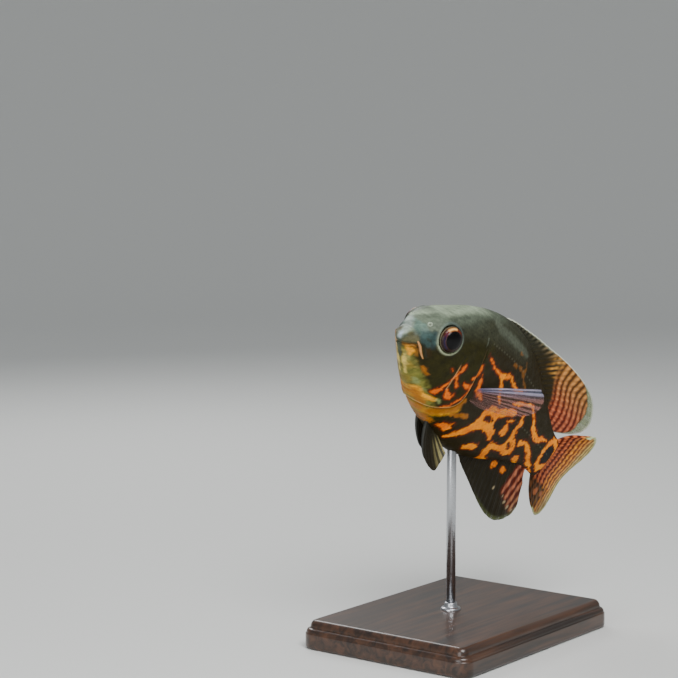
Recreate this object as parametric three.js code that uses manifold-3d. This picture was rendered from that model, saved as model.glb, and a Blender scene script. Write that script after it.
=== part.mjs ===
// A young oscar fish as a still, life-size display model, nose up and banked, held on a rod over a flat base.
// Millimetres, +Z up. The origin is the middle of the base's underside. The fish heads towards -X and its
// left side faces -Y. It is shaped straight, along X, then bent as in a turn and set at its swimming angle.

import * as THREE from 'three';
import { mergeVertices } from 'three/addons/utils/BufferGeometryUtils.js';
import Module from 'manifold-3d';

const wasm = await Module();
wasm.setup();

// Driving dimensions. A share is a share of the axis, which ends at the root of the tail fin. The snout lies
// a little behind its start, so the standard length is 117 mm, and the whole length is 151 mm.
const AXIS_LENGTH = 120;
const SNOUT = 0.025;
const GAP = 0.3;
const SHORT_EDGE = 0.03;
const SLIVER_HEIGHT = 0.004;
const NOSE_UP = THREE.MathUtils.degToRad(34.9);
const BANK = THREE.MathUtils.degToRad(21.2);
const CENTRE_HEIGHT = 106;
const CENTRE_SHARE = 0.5;
const CENTRE_OFFSET = { x: 4, y: -5 };

// The body turns gently from TURN_START, and its rear swings back the other way from FLICK_START.
const TURN_START = 0.28;
const TURN_ANGLE = THREE.MathUtils.degToRad(12);
const FLICK_START = 0.72;
const FLICK_SPAN = 0.5;
const FLICK_ANGLE = THREE.MathUtils.degToRad(-31);
const BEND_REACH = 1.4;
const BEND_STEPS = 560;

// Stations of the body, in shares: place, back line, belly line, half width, height of the widest line,
// then the roundness of the section above and below it, where 2 is an ellipse and more is fuller.
const BODY_STATIONS = [
  [0.025, -0.040, -0.040, 0.000, -0.040, 2.0, 2.0],
  [0.032, -0.012, -0.062, 0.026, -0.040, 2.3, 1.8],
  [0.047, 0.032, -0.075, 0.048, -0.024, 2.7, 1.7],
  [0.072, 0.083, -0.090, 0.071, -0.008, 3.0, 1.7],
  [0.112, 0.121, -0.114, 0.086, 0.003, 3.0, 1.8],
  [0.160, 0.158, -0.140, 0.096, 0.005, 2.7, 1.95],
  [0.240, 0.208, -0.172, 0.108, 0.000, 2.35, 2.2],
  [0.320, 0.245, -0.196, 0.110, -0.010, 2.1, 2.3],
  [0.400, 0.266, -0.209, 0.103, -0.020, 2.0, 2.3],
  [0.500, 0.271, -0.223, 0.092, -0.020, 1.95, 2.1],
  [0.600, 0.255, -0.210, 0.077, -0.010, 1.9, 2.0],
  [0.700, 0.219, -0.171, 0.060, 0.000, 1.9, 1.9],
  [0.800, 0.168, -0.117, 0.043, 0.005, 1.9, 1.9],
  [0.880, 0.126, -0.083, 0.030, 0.005, 1.9, 1.9],
  [0.950, 0.098, -0.071, 0.021, 0.005, 2.0, 2.0],
  [1.000, 0.091, -0.072, 0.016, 0.005, 2.0, 2.0],
];
const BODY_RINGS = 44;
const BODY_SIDES = 36;

// Swellings and hollows of the skin, in shares, with their rise in millimetres.
const SWELLINGS = [
  { at: [0.135, 0.048], spread: [0.055, 0.050], rise: 0.7 },
  { at: [0.200, 0.130], spread: [0.060, 0.040], rise: -0.6 },
  { at: [0.205, -0.050], spread: [0.060, 0.060], rise: 0.5 },
];

// Side-view lines of the head and body, in shares: back from the snout, then above the axis.
const GAPE_LINE = [
  [-0.040, -0.070], [0.030, -0.068], [0.043, -0.062], [0.053, -0.048],
  [0.064, -0.045], [0.080, -0.052], [0.100, -0.064], [0.116, -0.074],
];
const GAPE_CORNER = 0.116;
const JAW_REAR_LINE = [[0.116, -0.074], [0.130, -0.102], [0.146, -0.142], [0.152, -0.220]];
const GILL_LINE = [
  [0.290, 0.320], [0.302, 0.170], [0.316, 0.100], [0.330, 0.046], [0.344, 0.002], [0.355, -0.032],
  [0.362, -0.064], [0.359, -0.092], [0.344, -0.118], [0.318, -0.141], [0.284, -0.164],
  [0.246, -0.178], [0.215, -0.260],
];
const COVER_FRONT_LINE = [
  [0.268, 0.098], [0.248, 0.040], [0.239, -0.010], [0.242, -0.055],
  [0.258, -0.095], [0.286, -0.133], [0.300, -0.170],
];
const COVER_BACK_LINE = [[0.380, -0.170], [0.380, 0.098]];
const COVER_THICKNESS = 2.4;
const STALK_LINE = [[0.838, 0.300], [0.838, -0.300]];
const LINE_STEPS = 2;

// Eyes, nostrils and lips, in millimetres where no share is named.
const EYE_AT = [0.135, 0.046];
const EYE_RADIUS = 5.5;
const EYE_BULGE = 2.9;
const EYE_SEAT = 2.2;
const EYE_RINGS = 5;
const EYE_SIDES = 22;
const ORBIT_RIM = 0.8;
const NOSTRIL_AT = [0.058, 0.040];
const NOSTRIL_RADIUS = 0.85;
const NOSTRIL_RIM = 0.38;
const LIP_OFFSET = 1.35;
const LIP_SINK = 1.1;
const UPPER_LIP = { front: 1.8, corner: 1.1, side: 1 };
const LOWER_LIP = { front: 1.6, corner: 1.0, side: -1 };
const LIP_STEPS = 24;
const LIP_SIDES = 8;

// Stand. The base's profile is a row of insets and heights: eased foot, straight side, routed step, rounded
// top.
const BASE_SIZE = { x: 112, y: 84, z: 12 };
const BASE_CORNER = 6;
const BASE_CORNER_STEPS = 4;
const BASE_PROFILE = [
  [1.4, 0], [0.3, 0.5], [0, 1.4], [0, 6.4], [0.4, 6.9], [0.6, 7.76], [1.15, 8.38],
  [1.9, 8.61], [2.1, 8.8], [2.42, 10.4], [3.3, 11.57], [4.5, BASE_SIZE.z],
];
const ROD_RADIUS = 2;
const ROD_SIDES = 16;
const ROD_SHARE = 0.565;
const ROD_SOCKET_DEPTH = 6;

// Half thickness of a fin at its root and rim, on a ray and between rays.
const FIN_HALF = { rayRoot: 0.95, rayRim: 0.34, webRoot: 0.6, webRim: 0.27 };
const FIN_SINK = 0.022;

const share = (value) => value * AXIS_LENGTH;
const mix = THREE.MathUtils.lerp;

// Smooth curve through the stations, walked in the square root of the way back, so that the snout is blunt.
const rootOf = (place) => Math.sqrt(THREE.MathUtils.clamp((place - SNOUT) / (1 - SNOUT), 0, 1));
const placeOf = (root) => SNOUT + (1 - SNOUT) * root * root;
const STATION_ROOTS = BODY_STATIONS.map((station) => rootOf(station[0]));

function stationSlope(column, index) {
  const rise = (i) => BODY_STATIONS[i + 1][column] - BODY_STATIONS[i][column];
  const run = (i) => STATION_ROOTS[i + 1] - STATION_ROOTS[i];
  const last = BODY_STATIONS.length - 2;
  if (index === 0) return rise(0) / run(0);
  if (index > last) return rise(last) / run(last);
  const before = (rise(index - 1) / run(index - 1)) * run(index);
  const after = (rise(index) / run(index)) * run(index - 1);
  return (before + after) / (run(index - 1) + run(index));
}

function stationValue(column, root) {
  let i = 0;
  while (i < BODY_STATIONS.length - 2 && STATION_ROOTS[i + 1] < root) i += 1;
  const run = STATION_ROOTS[i + 1] - STATION_ROOTS[i];
  const t = (root - STATION_ROOTS[i]) / run;
  const a = BODY_STATIONS[i][column];
  const b = BODY_STATIONS[i + 1][column];
  const slopeA = stationSlope(column, i) * run;
  const slopeB = stationSlope(column, i + 1) * run;
  const ease = t * t * (3 - 2 * t);
  return mix(a, b, ease) + slopeA * t * (1 - t) ** 2 - slopeB * t * t * (1 - t);
}

function bodySection(place) {
  const root = rootOf(place);
  const columns = [1, 2, 3, 4, 5, 6];
  const [top, bottom, half, middle, crown, keel] = columns.map((column) => stationValue(column, root));
  return { top, bottom, half, middle, crown, keel };
}

// Point of the plain skin, in shares, at an angle round the section: 0 is the left side, 90 degrees the back.
function plainSkin(root, angle) {
  const place = placeOf(root);
  const { top, bottom, half, middle, crown, keel } = bodySection(place);
  const c = Math.cos(angle);
  const s = Math.sin(angle);
  const power = 2 / (s >= 0 ? crown : keel);
  const reach = s >= 0 ? top - middle : middle - bottom;
  const side = -half * Math.sign(c) * Math.abs(c) ** power;
  const height = middle + reach * Math.sign(s) * Math.abs(s) ** power;
  return new THREE.Vector3(place, side, height);
}

function skinNormal(root, angle) {
  if (root < 0.02) return new THREE.Vector3(-1, 0, 0);
  const step = 0.004;
  const along = plainSkin(Math.min(root + step, 1), angle).sub(plainSkin(root - step, angle));
  const around = plainSkin(root, angle + step).sub(plainSkin(root, angle - step));
  const normal = along.cross(around).normalize();
  const outward = new THREE.Vector3(0, -Math.cos(angle), Math.sin(angle));
  return normal.dot(outward) < 0 ? normal.negate() : normal;
}

function swelling(place, height) {
  return SWELLINGS.reduce((sum, { at, spread, rise }) => {
    const reach = ((place - at[0]) / spread[0]) ** 2 + ((height - at[1]) / spread[1]) ** 2;
    return sum + rise * Math.exp(-reach);
  }, 0);
}

// Point of the skin in millimetres, standing `grow` proud of it.
function skinPoint(root, angle, grow = 0) {
  const plain = plainSkin(root, angle);
  const rise = grow + swelling(plain.x, plain.z);
  const normal = skinNormal(root, angle);
  return plain.multiplyScalar(AXIS_LENGTH).addScaledVector(normal, rise);
}

// Skin point and outward normal at a side-view place, on the left (-1) or right (1) side.
function flank(place, height, side) {
  const { top, bottom, middle, crown, keel } = bodySection(place);
  const above = height >= middle;
  const reach = above ? top - middle : middle - bottom;
  const level = Math.min(Math.abs(height - middle) / reach, 1);
  const lift = Math.asin(level ** ((above ? crown : keel) / 2)) * (above ? 1 : -1);
  const angle = side < 0 ? lift : Math.PI - lift;
  const root = rootOf(place);
  return { point: skinPoint(root, angle), normal: skinNormal(root, angle) };
}

// Closed solids from triangles.
function solidFrom(positions, triangles) {
  let solid = new wasm.Manifold(new wasm.Mesh({
    numProp: 3,
    vertProperties: Float32Array.from(positions),
    triVerts: Uint32Array.from(triangles),
  }));
  if (solid.volume() < 0) {
    const flipped = [];
    for (let i = 0; i < triangles.length; i += 3) {
      flipped.push(triangles[i], triangles[i + 2], triangles[i + 1]);
    }
    solid = new wasm.Manifold(new wasm.Mesh({
      numProp: 3,
      vertProperties: Float32Array.from(positions),
      triVerts: Uint32Array.from(flipped),
    }));
  }
  return solid;
}

function solidOf(geometry) {
  const bare = geometry.clone();
  bare.deleteAttribute('normal');
  bare.deleteAttribute('uv');
  const merged = mergeVertices(bare, 1e-4);
  return solidFrom(merged.attributes.position.array, merged.index.array);
}

function geometryOf(solid) {
  const { vertProperties, triVerts } = solid.getMesh();
  const geometry = new THREE.BufferGeometry();
  geometry.setAttribute('position', new THREE.BufferAttribute(Float32Array.from(vertProperties), 3));
  geometry.setIndex(new THREE.BufferAttribute(Uint32Array.from(triVerts), 1));
  geometry.computeVertexNormals();
  return geometry;
}

// Joining and cutting leaves tiny edges and flat slivers. A short edge whose ends share just two neighbours
// is drawn together, and a sliver is turned with its neighbour across its longest edge.
function tidySolid(solid) {
  const { vertProperties: positions, triVerts } = solid.getMesh();
  const count = triVerts.length / 3;
  const triangles = Array.from({ length: count }, (_, i) => [...triVerts.slice(3 * i, 3 * i + 3)]);
  const around = Array.from({ length: positions.length / 3 }, () => new Set());
  triangles.forEach((corners, i) => corners.forEach((corner) => around[corner].add(i)));
  const point = (i) => new THREE.Vector3().fromArray(positions, 3 * i);
  const cornersNear = (i) => [...around[i]].flatMap((t) => triangles[t]);
  const neighbours = (i) => new Set(cornersNear(i).filter((corner) => corner !== i));
  const place = (t, corners) => {
    triangles[t]?.forEach((corner) => around[corner].delete(t));
    triangles[t] = corners;
    corners?.forEach((corner) => around[corner].add(t));
  };
  const drawTogether = (kept, gone) => {
    [...around[gone]].forEach((t) => {
      const corners = triangles[t];
      const moved = corners.map((corner) => (corner === gone ? kept : corner));
      place(t, corners.includes(kept) ? null : moved);
    });
  };
  const turnSliver = (t) => {
    const corners = triangles[t];
    const lengths = corners.map((corner, i) => point(corner).distanceTo(point(corners[(i + 1) % 3])));
    const longest = Math.max(...lengths);
    const first = lengths.indexOf(longest);
    const [a, b, c] = [0, 1, 2].map((i) => corners[(first + i) % 3]);
    const height = new THREE.Triangle(point(a), point(b), point(c)).getArea() * 2 / longest;
    const other = [...around[a]].find((near) => near !== t && triangles[near].includes(b));
    const d = triangles[other].find((corner) => corner !== a && corner !== b);
    if (height > SLIVER_HEIGHT || neighbours(c).has(d)) return;
    place(t, [a, d, c]);
    place(other, [d, b, c]);
  };
  for (let i = 0; i < triangles.length; i += 1) {
    for (let edge = 0; edge < 3 && triangles[i]; edge += 1) {
      const a = triangles[i][edge];
      const b = triangles[i][(edge + 1) % 3];
      const near = neighbours(b);
      const shared = [...neighbours(a)].filter((corner) => near.has(corner));
      if (point(a).distanceTo(point(b)) < SHORT_EDGE && shared.length === 2) drawTogether(a, b);
    }
  }
  for (let i = 0; i < triangles.length; i += 1) {
    if (triangles[i]) turnSliver(i);
  }
  return solidFrom(positions, triangles.filter(Boolean).flat());
}

function largest(solid) {
  return solid.decompose().reduce((best, piece) => (piece.volume() > best.volume() ? piece : best));
}

// Piece of a parted solid that holds the most of a side-view place.
function pieceNear(pieces, place, height) {
  const distance = (piece) => {
    const { min, max } = piece.boundingBox();
    return Math.hypot((min[0] + max[0]) / 2 - share(place), (min[2] + max[2]) / 2 - share(height));
  };
  return pieces.reduce((best, piece) => (distance(piece) < distance(best) ? piece : best));
}

// Closed solid from rings of points, with one more point to close each end.
function ringSolid(rings, start, end) {
  const sides = rings[0].length;
  const last = rings.length - 1;
  const startIndex = rings.length * sides;
  const at = (ring, side) => ring * sides + (side % sides);
  const triangles = [];
  for (let side = 0; side < sides; side += 1) {
    triangles.push(startIndex, at(0, side), at(0, side + 1));
    triangles.push(startIndex + 1, at(last, side + 1), at(last, side));
    for (let ring = 0; ring < last; ring += 1) {
      triangles.push(at(ring, side), at(ring + 1, side), at(ring, side + 1));
      triangles.push(at(ring, side + 1), at(ring + 1, side), at(ring + 1, side + 1));
    }
  }
  const positions = [...rings.flat(), start, end].flatMap((point) => [point.x, point.y, point.z]);
  return solidFrom(positions, triangles);
}

const upTo = (count) => Array.from({ length: count }, (_, i) => i);

function bodySolid(grow = 0) {
  const rings = upTo(BODY_RINGS).map((ring) => upTo(BODY_SIDES).map((side) => (
    skinPoint((ring + 1) / BODY_RINGS, (side / BODY_SIDES) * 2 * Math.PI, grow)
  )));
  const end = new THREE.Vector3(share(1) + grow, 0, share(bodySection(1).middle));
  return ringSolid(rings, skinPoint(0, 0, grow), end);
}

// Smooth side-view line through a few places.
function sideLine(places, steps = LINE_STEPS) {
  const curve = new THREE.SplineCurve(places.map(([x, y]) => new THREE.Vector2(share(x), share(y))));
  return curve.getPoints((places.length - 1) * steps);
}

function sidePrism(outline, reach = 40) {
  const shape = new THREE.Shape(outline);
  const geometry = new THREE.ExtrudeGeometry(shape, { depth: 2 * reach, bevelEnabled: false });
  geometry.translate(0, 0, -reach);
  geometry.rotateX(Math.PI / 2);
  return solidOf(geometry);
}

// A line moved sideways, and the thin wall along a line that parts a solid.
function offsetLine(line, distance) {
  return line.map((point, i) => {
    const before = line[Math.max(i - 1, 0)];
    const after = line[Math.min(i + 1, line.length - 1)];
    const across = after.clone().sub(before).normalize();
    return new THREE.Vector2(point.x - across.y * distance, point.y + across.x * distance);
  });
}

function partingWall(line) {
  return sidePrism([...offsetLine(line, GAP / 2), ...offsetLine(line, -GAP / 2).reverse()]);
}

// Tube of tapering radius along a row of points.
function taperedTube(points, radius, sides) {
  const curve = new THREE.CatmullRomCurve3(points);
  const steps = points.length - 1;
  const frames = curve.computeFrenetFrames(steps, false);
  const rings = points.map((_, step) => upTo(sides).map((side) => {
    const turn = (side / sides) * 2 * Math.PI;
    return curve.getPointAt(step / steps)
      .addScaledVector(frames.normals[step], Math.cos(turn) * radius(step / steps))
      .addScaledVector(frames.binormals[step], Math.sin(turn) * radius(step / steps));
  }));
  return ringSolid(rings, curve.getPointAt(0), curve.getPointAt(1));
}

// Half width of the plain skin at a side-view place, in shares.
function skinHalf(place, height) {
  if (place <= SNOUT) return 0;
  const { top, bottom, half, middle, crown, keel } = bodySection(place);
  const level = height >= middle ? (height - middle) / (top - middle) : (middle - height) / (middle - bottom);
  const power = height >= middle ? crown : keel;
  return level >= 1 ? 0 : half * (1 - level ** power) ** (1 / power);
}

// Where a ray from inside the mouth, turned from straight ahead to one side, meets the skin beside the gape.
function gapeSkin(turn, offset) {
  const gape = new THREE.SplineCurve(GAPE_LINE.map(([x, y]) => new THREE.Vector2(x, y)));
  const heightAt = (place) => {
    let [low, high] = [0, 1];
    for (let i = 0; i < 30; i += 1) {
      const middle = (low + high) / 2;
      if (gape.getPoint(middle).x < place) low = middle;
      else high = middle;
    }
    return gape.getPoint(low).y + offset;
  };
  let [inside, outside] = [0, 0.2];
  for (let i = 0; i < 30; i += 1) {
    const reach = (inside + outside) / 2;
    const place = GAPE_CORNER - reach * Math.cos(turn);
    if (reach * Math.abs(Math.sin(turn)) < skinHalf(place, heightAt(place))) inside = reach;
    else outside = reach;
  }
  const place = GAPE_CORNER - inside * Math.cos(turn);
  return { place, height: heightAt(place) };
}

// Lip: a soft roll on the skin just above or below the gape, from one mouth corner round to the other.
function lip({ front, corner, side: above }) {
  const points = [];
  for (let step = 0; step <= LIP_STEPS; step += 1) {
    const turn = ((step / LIP_STEPS) * 2 - 1) * (Math.PI / 2);
    const { place, height } = gapeSkin(turn, (above * LIP_OFFSET) / AXIS_LENGTH);
    const { point, normal } = flank(place, height, turn < 0 ? -1 : 1);
    points.push(point.addScaledVector(normal, -LIP_SINK));
  }
  const radius = (t) => mix(front, corner, Math.abs(2 * t - 1) ** 1.5);
  return taperedTube(points, radius, LIP_SIDES);
}

// Place a geometry whose axis is +Z on the skin, along a direction.
function faceAlong(geometry, point, direction) {
  const turn = new THREE.Quaternion().setFromUnitVectors(new THREE.Vector3(0, 0, 1), direction);
  geometry.applyQuaternion(turn);
  geometry.translate(point.x, point.y, point.z);
  return geometry;
}

// Eye: a domed lens that stands out of its orbit, on a seat sunk below the skin.
function eyeSolid(side, grow = 0) {
  const { point, normal } = flank(EYE_AT[0], EYE_AT[1], side);
  const seat = -EYE_SEAT - grow;
  const profile = [new THREE.Vector2(0, seat), new THREE.Vector2(EYE_RADIUS + grow, seat)];
  for (let ring = 0; ring <= EYE_RINGS; ring += 1) {
    const lift = (ring / EYE_RINGS) * (Math.PI / 2);
    const reach = ring === EYE_RINGS ? 0 : (EYE_RADIUS + grow) * Math.cos(lift);
    profile.push(new THREE.Vector2(reach, (EYE_BULGE + grow) * Math.sin(lift)));
  }
  const dome = new THREE.LatheGeometry(profile, EYE_SIDES);
  dome.rotateX(Math.PI / 2);
  return solidOf(faceAlong(dome, point, normal));
}

function skinRing(place, side, radius, rim, sides) {
  const { point, normal } = flank(place[0], place[1], side);
  const ring = new THREE.TorusGeometry(radius, rim, 6, sides);
  return solidOf(faceAlong(ring, point, normal));
}

// The bend: a point of the straight fish goes to its place on the curved one.
const bendTable = (() => {
  const table = [{ x: 0, y: 0, turn: 0 }];
  const step = BEND_REACH / BEND_STEPS;
  const turnAt = (place) => {
    const turn = Math.max((place - TURN_START) / (1 - TURN_START), 0);
    const flick = Math.max((place - FLICK_START) / FLICK_SPAN, 0);
    return TURN_ANGLE * turn + FLICK_ANGLE * flick ** 1.5;
  };
  for (let i = 1; i <= BEND_STEPS; i += 1) {
    const middle = turnAt((i - 0.5) * step);
    const { x, y } = table[i - 1];
    table.push({ x: x + Math.cos(middle) * step, y: y - Math.sin(middle) * step, turn: turnAt(i * step) });
  }
  return table;
})();

function bendPoint(point) {
  const place = point.x / AXIS_LENGTH;
  if (place < TURN_START) return point;
  const slot = (place / BEND_REACH) * BEND_STEPS;
  const i = Math.min(Math.floor(slot), BEND_STEPS - 1);
  const part = slot - i;
  const before = bendTable[i];
  const after = bendTable[i + 1];
  const turn = mix(before.turn, after.turn, part);
  const side = point.y;
  point.x = share(mix(before.x, after.x, part)) + side * Math.sin(turn);
  point.y = share(mix(before.y, after.y, part)) + side * Math.cos(turn);
  return point;
}

function bentGeometry(solid) {
  const geometry = geometryOf(tidySolid(solid));
  const { position } = geometry.attributes;
  const point = new THREE.Vector3();
  for (let i = 0; i < position.count; i += 1) {
    bendPoint(point.fromBufferAttribute(position, i));
    position.setXYZ(i, point.x, point.y, point.z);
  }
  geometry.computeVertexNormals();
  return geometry;
}

const fishCentre = bendPoint(new THREE.Vector3(share(CENTRE_SHARE), 0, 0));
const fishPose = new THREE.Matrix4()
  .makeTranslation(CENTRE_OFFSET.x, CENTRE_OFFSET.y, CENTRE_HEIGHT)
  .multiply(new THREE.Matrix4().makeRotationY(NOSE_UP))
  .multiply(new THREE.Matrix4().makeRotationX(BANK))
  .multiply(new THREE.Matrix4().makeTranslation(-fishCentre.x, -fishCentre.y, -fishCentre.z));

// Body parts, cut from one whole body with thin walls.
const plainBody = bodySolid();
const grownBody = bodySolid(GAP);
const sides = { left: -1, right: 1 };
const sideNames = Object.keys(sides);

const faceForms = sideNames.flatMap((name) => [
  skinRing(EYE_AT, sides[name], EYE_RADIUS + ORBIT_RIM / 2, ORBIT_RIM, 22),
  skinRing(NOSTRIL_AT, sides[name], NOSTRIL_RADIUS, NOSTRIL_RIM, 10),
]);
const eyeSockets = sideNames.map((name) => eyeSolid(sides[name], GAP));
const lips = [lip(UPPER_LIP), lip(LOWER_LIP)];
const wholeBody = eyeSockets.reduce(
  (solid, socket) => solid.subtract(socket),
  [...faceForms, ...lips].reduce((solid, form) => solid.add(form), plainBody),
);

const mouthWall = partingWall([...sideLine(GAPE_LINE), ...sideLine(JAW_REAR_LINE).slice(1)]);
const gillWall = partingWall(sideLine(GILL_LINE));
const stalkWall = partingWall(sideLine(STALK_LINE, 1));
const bodyPieces = [mouthWall, gillWall, stalkWall]
  .reduce((solid, wall) => solid.subtract(wall), wholeBody)
  .decompose();
const headWithCovers = pieceNear(bodyPieces, 0.17, 0.04);

const coverOutline = [...sideLine(COVER_FRONT_LINE), ...sideLine(COVER_BACK_LINE, 1)];
const coverInside = bodySolid(-COVER_THICKNESS);
const coverBed = bodySolid(-COVER_THICKNESS - GAP);
const coverPrism = sidePrism(coverOutline);
const coverFrontWall = partingWall([...sideLine(COVER_FRONT_LINE)]);
const coverTopWall = partingWall([
  new THREE.Vector2(share(COVER_FRONT_LINE[0][0]) - GAP / 2, share(COVER_FRONT_LINE[0][1])),
  new THREE.Vector2(share(COVER_BACK_LINE[1][0]), share(COVER_BACK_LINE[1][1])),
]);
const coverPlates = headWithCovers
  .intersect(coverPrism)
  .subtract(coverInside)
  .subtract(coverFrontWall)
  .subtract(coverTopWall);
const head = headWithCovers.subtract(coverPrism.add(coverFrontWall).add(coverTopWall).subtract(coverBed));

function halfOf(solid, side) {
  const reach = share(1);
  const block = new THREE.BoxGeometry(2 * reach, reach, 2 * reach);
  block.translate(0, (side * reach) / 2, 0);
  return largest(solid.intersect(solidOf(block)));
}

const flesh = {
  head: largest(head),
  lower_jaw: pieceNear(bodyPieces, 0.06, -0.09),
  gill_cover_left: halfOf(coverPlates, sides.left),
  gill_cover_right: halfOf(coverPlates, sides.right),
  trunk: pieceNear(bodyPieces, 0.57, 0.03),
  tail_stalk: pieceNear(bodyPieces, 0.93, 0.01),
};

// Fins: a sheet from a base line to an edge line, both given as functions of t, from the first ray to the
// last. A ray bows as it runs out, and the rays stand up as ridges on both faces of the web between them.
function finSolid({ rays, rows, base, edge, bow, sway, notch }) {
  const columns = 2 * rays;
  const sheet = (t, s) => {
    const root = base(t);
    const tip = edge(t);
    const control = root.clone().lerp(tip, 0.5).add(bow(t));
    const point = root.multiplyScalar((1 - s) ** 2);
    point.addScaledVector(control, 2 * s * (1 - s)).addScaledVector(tip, s * s);
    return point.add(sway(t, s)).multiplyScalar(AXIS_LENGTH);
  };
  const left = [];
  const right = [];
  for (let column = 0; column <= columns; column += 1) {
    const onRay = column % 2 === 0;
    const t = column / columns;
    for (let row = 0; row <= rows; row += 1) {
      const reach = onRay ? 1 : 1 - notch(t);
      const s = (row / rows) * reach;
      const point = sheet(t, s);
      const step = 0.01;
      const along = sheet(t, Math.min(s + step, 1)).sub(sheet(t, s - step));
      const across = sheet(Math.min(t + step, 1), s).sub(sheet(Math.max(t - step, 0), s));
      const normal = across.cross(along).normalize();
      const { rayRoot, rayRim, webRoot, webRim } = FIN_HALF;
      const thickness = onRay ? mix(rayRoot, rayRim, s) : mix(webRoot, webRim, s);
      left.push(point.clone().addScaledVector(normal, thickness));
      right.push(point.clone().addScaledVector(normal, -thickness));
    }
  }
  const positions = [...left, ...right].flatMap((point) => [point.x, point.y, point.z]);
  const at = (face, column, row) => face * left.length + column * (rows + 1) + row;
  const triangles = [];
  const quad = (a, b, c, d) => triangles.push(a, b, c, a, c, d);
  for (let column = 0; column < columns; column += 1) {
    for (let row = 0; row < rows; row += 1) {
      quad(at(0, column, row), at(0, column + 1, row), at(0, column + 1, row + 1), at(0, column, row + 1));
      triangles.push(at(1, column, row), at(1, column + 1, row + 1), at(1, column + 1, row));
      triangles.push(at(1, column, row), at(1, column, row + 1), at(1, column + 1, row + 1));
    }
    quad(at(0, column, rows), at(0, column + 1, rows), at(1, column + 1, rows), at(1, column, rows));
    quad(at(1, column, 0), at(1, column + 1, 0), at(0, column + 1, 0), at(0, column, 0));
  }
  for (let row = 0; row < rows; row += 1) {
    quad(at(1, 0, row), at(0, 0, row), at(0, 0, row + 1), at(1, 0, row + 1));
    quad(at(0, columns, row), at(1, columns, row), at(1, columns, row + 1), at(0, columns, row + 1));
  }
  return solidFrom(positions, triangles);
}

// An edge line in shares through a few places [back, side, up], walked by length.
function edgeCurve(places) {
  return new THREE.CatmullRomCurve3(places.map((place) => new THREE.Vector3(...place)), false, 'centripetal');
}

const still = () => new THREE.Vector3();
const noNotch = () => 0;

// Dorsal fin: thirteen spines whose tips stand clear of the web, then soft rays out to a long rear lobe,
// which leans to the right, clear of the tail fin.
const DORSAL = {
  start: 0.353, end: 0.905, rays: 31, spinyPart: 0.48, rows: 6, notch: 0.07, bow: 0.012,
  wave: 0.012, lean: 0.014,
};
const dorsalEdge = edgeCurve([
  [0.353, 0, 0.247], [0.387, 0, 0.262], [0.437, 0, 0.280], [0.518, 0, 0.293], [0.606, 0, 0.305],
  [0.700, 0, 0.312], [0.800, 0, 0.316], [0.870, 0, 0.313], [0.950, 0, 0.302], [1.013, 0, 0.283],
  [1.060, 0, 0.253], [1.086, 0, 0.222], [1.085, 0, 0.190], [1.050, 0, 0.153], [0.976, 0, 0.112],
  [0.914, 0, 0.087],
]);
const dorsalFin = finSolid({
  rays: DORSAL.rays,
  rows: DORSAL.rows,
  base: (t) => {
    const place = mix(DORSAL.start + 0.008, DORSAL.end, t);
    return new THREE.Vector3(place, 0, bodySection(place).top - FIN_SINK);
  },
  edge: (t) => dorsalEdge.getPointAt(t * (0.72 + 0.28 * t * t)),
  bow: (t) => new THREE.Vector3(-DORSAL.bow * t, 0, DORSAL.bow * t),
  sway: (t, s) => {
    const side = DORSAL.wave * Math.sin(t * 2 * Math.PI) + DORSAL.lean * t ** 6;
    return new THREE.Vector3(0, side * s * s, 0);
  },
  notch: (t) => DORSAL.notch * Math.sqrt(Math.max(1 - t / DORSAL.spinyPart, 0)),
});

// Anal fin: three spines and soft rays, reaching back to a lobe under the tail.
const ANAL = { start: 0.629, end: 0.925, rays: 17, rows: 6, bow: 0.012 };
const analEdge = edgeCurve([
  [0.629, 0, -0.205], [0.660, 0, -0.222], [0.719, 0, -0.243], [0.792, 0, -0.266], [0.872, 0, -0.286],
  [0.935, 0, -0.294], [0.990, 0, -0.286], [1.030, 0, -0.258], [1.050, 0, -0.222], [1.045, 0, -0.188],
  [1.015, 0, -0.156], [0.980, 0, -0.115],
]);
const analFin = finSolid({
  rays: ANAL.rays,
  rows: ANAL.rows,
  base: (t) => {
    const place = mix(ANAL.start + 0.008, ANAL.end, t);
    return new THREE.Vector3(place, 0, bodySection(place).bottom + FIN_SINK);
  },
  edge: (t) => analEdge.getPointAt(t * (0.78 + 0.22 * t * t)),
  bow: (t) => new THREE.Vector3(-ANAL.bow * t, 0, -ANAL.bow * t),
  sway: (t, s) => new THREE.Vector3(0, -0.010 * Math.sin(t * 2 * Math.PI) * s * s, 0),
  notch: (t) => 0.05 * Math.max(1 - t * 5, 0),
});

// Caudal fin: a broad fan from the end of the stalk, its middle trailing right, its corners to the left, the
// upper one more.
const CAUDAL = { root: 0.99, rays: 16, rows: 7, trail: 0.018, corner: 0.045, lean: 0.015 };
const caudalEdge = edgeCurve([
  [1.120, 0, -0.158], [1.190, 0, -0.163], [1.232, 0, -0.140], [1.246, 0, -0.105], [1.242, 0, -0.067],
  [1.230, 0, -0.030], [1.224, 0, 0.006], [1.230, 0, 0.045], [1.243, 0, 0.084], [1.256, 0, 0.123],
  [1.255, 0, 0.160], [1.226, 0, 0.193], [1.158, 0, 0.203], [1.098, 0, 0.173],
]);
function caudalSway(t, s) {
  const level = 2 * t - 1;
  const side = CAUDAL.trail - CAUDAL.lean * level - CAUDAL.corner * level ** 2;
  return new THREE.Vector3(0, side * s * s, 0);
}
const caudalFin = finSolid({
  rays: CAUDAL.rays,
  rows: CAUDAL.rows,
  base: (t) => new THREE.Vector3(CAUDAL.root, 0, mix(-0.068, 0.087, t)),
  edge: (t) => caudalEdge.getPointAt(t),
  bow: (t) => new THREE.Vector3(0, 0, 0.028 * (2 * t - 1)),
  sway: caudalSway,
  notch: noNotch,
});

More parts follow.
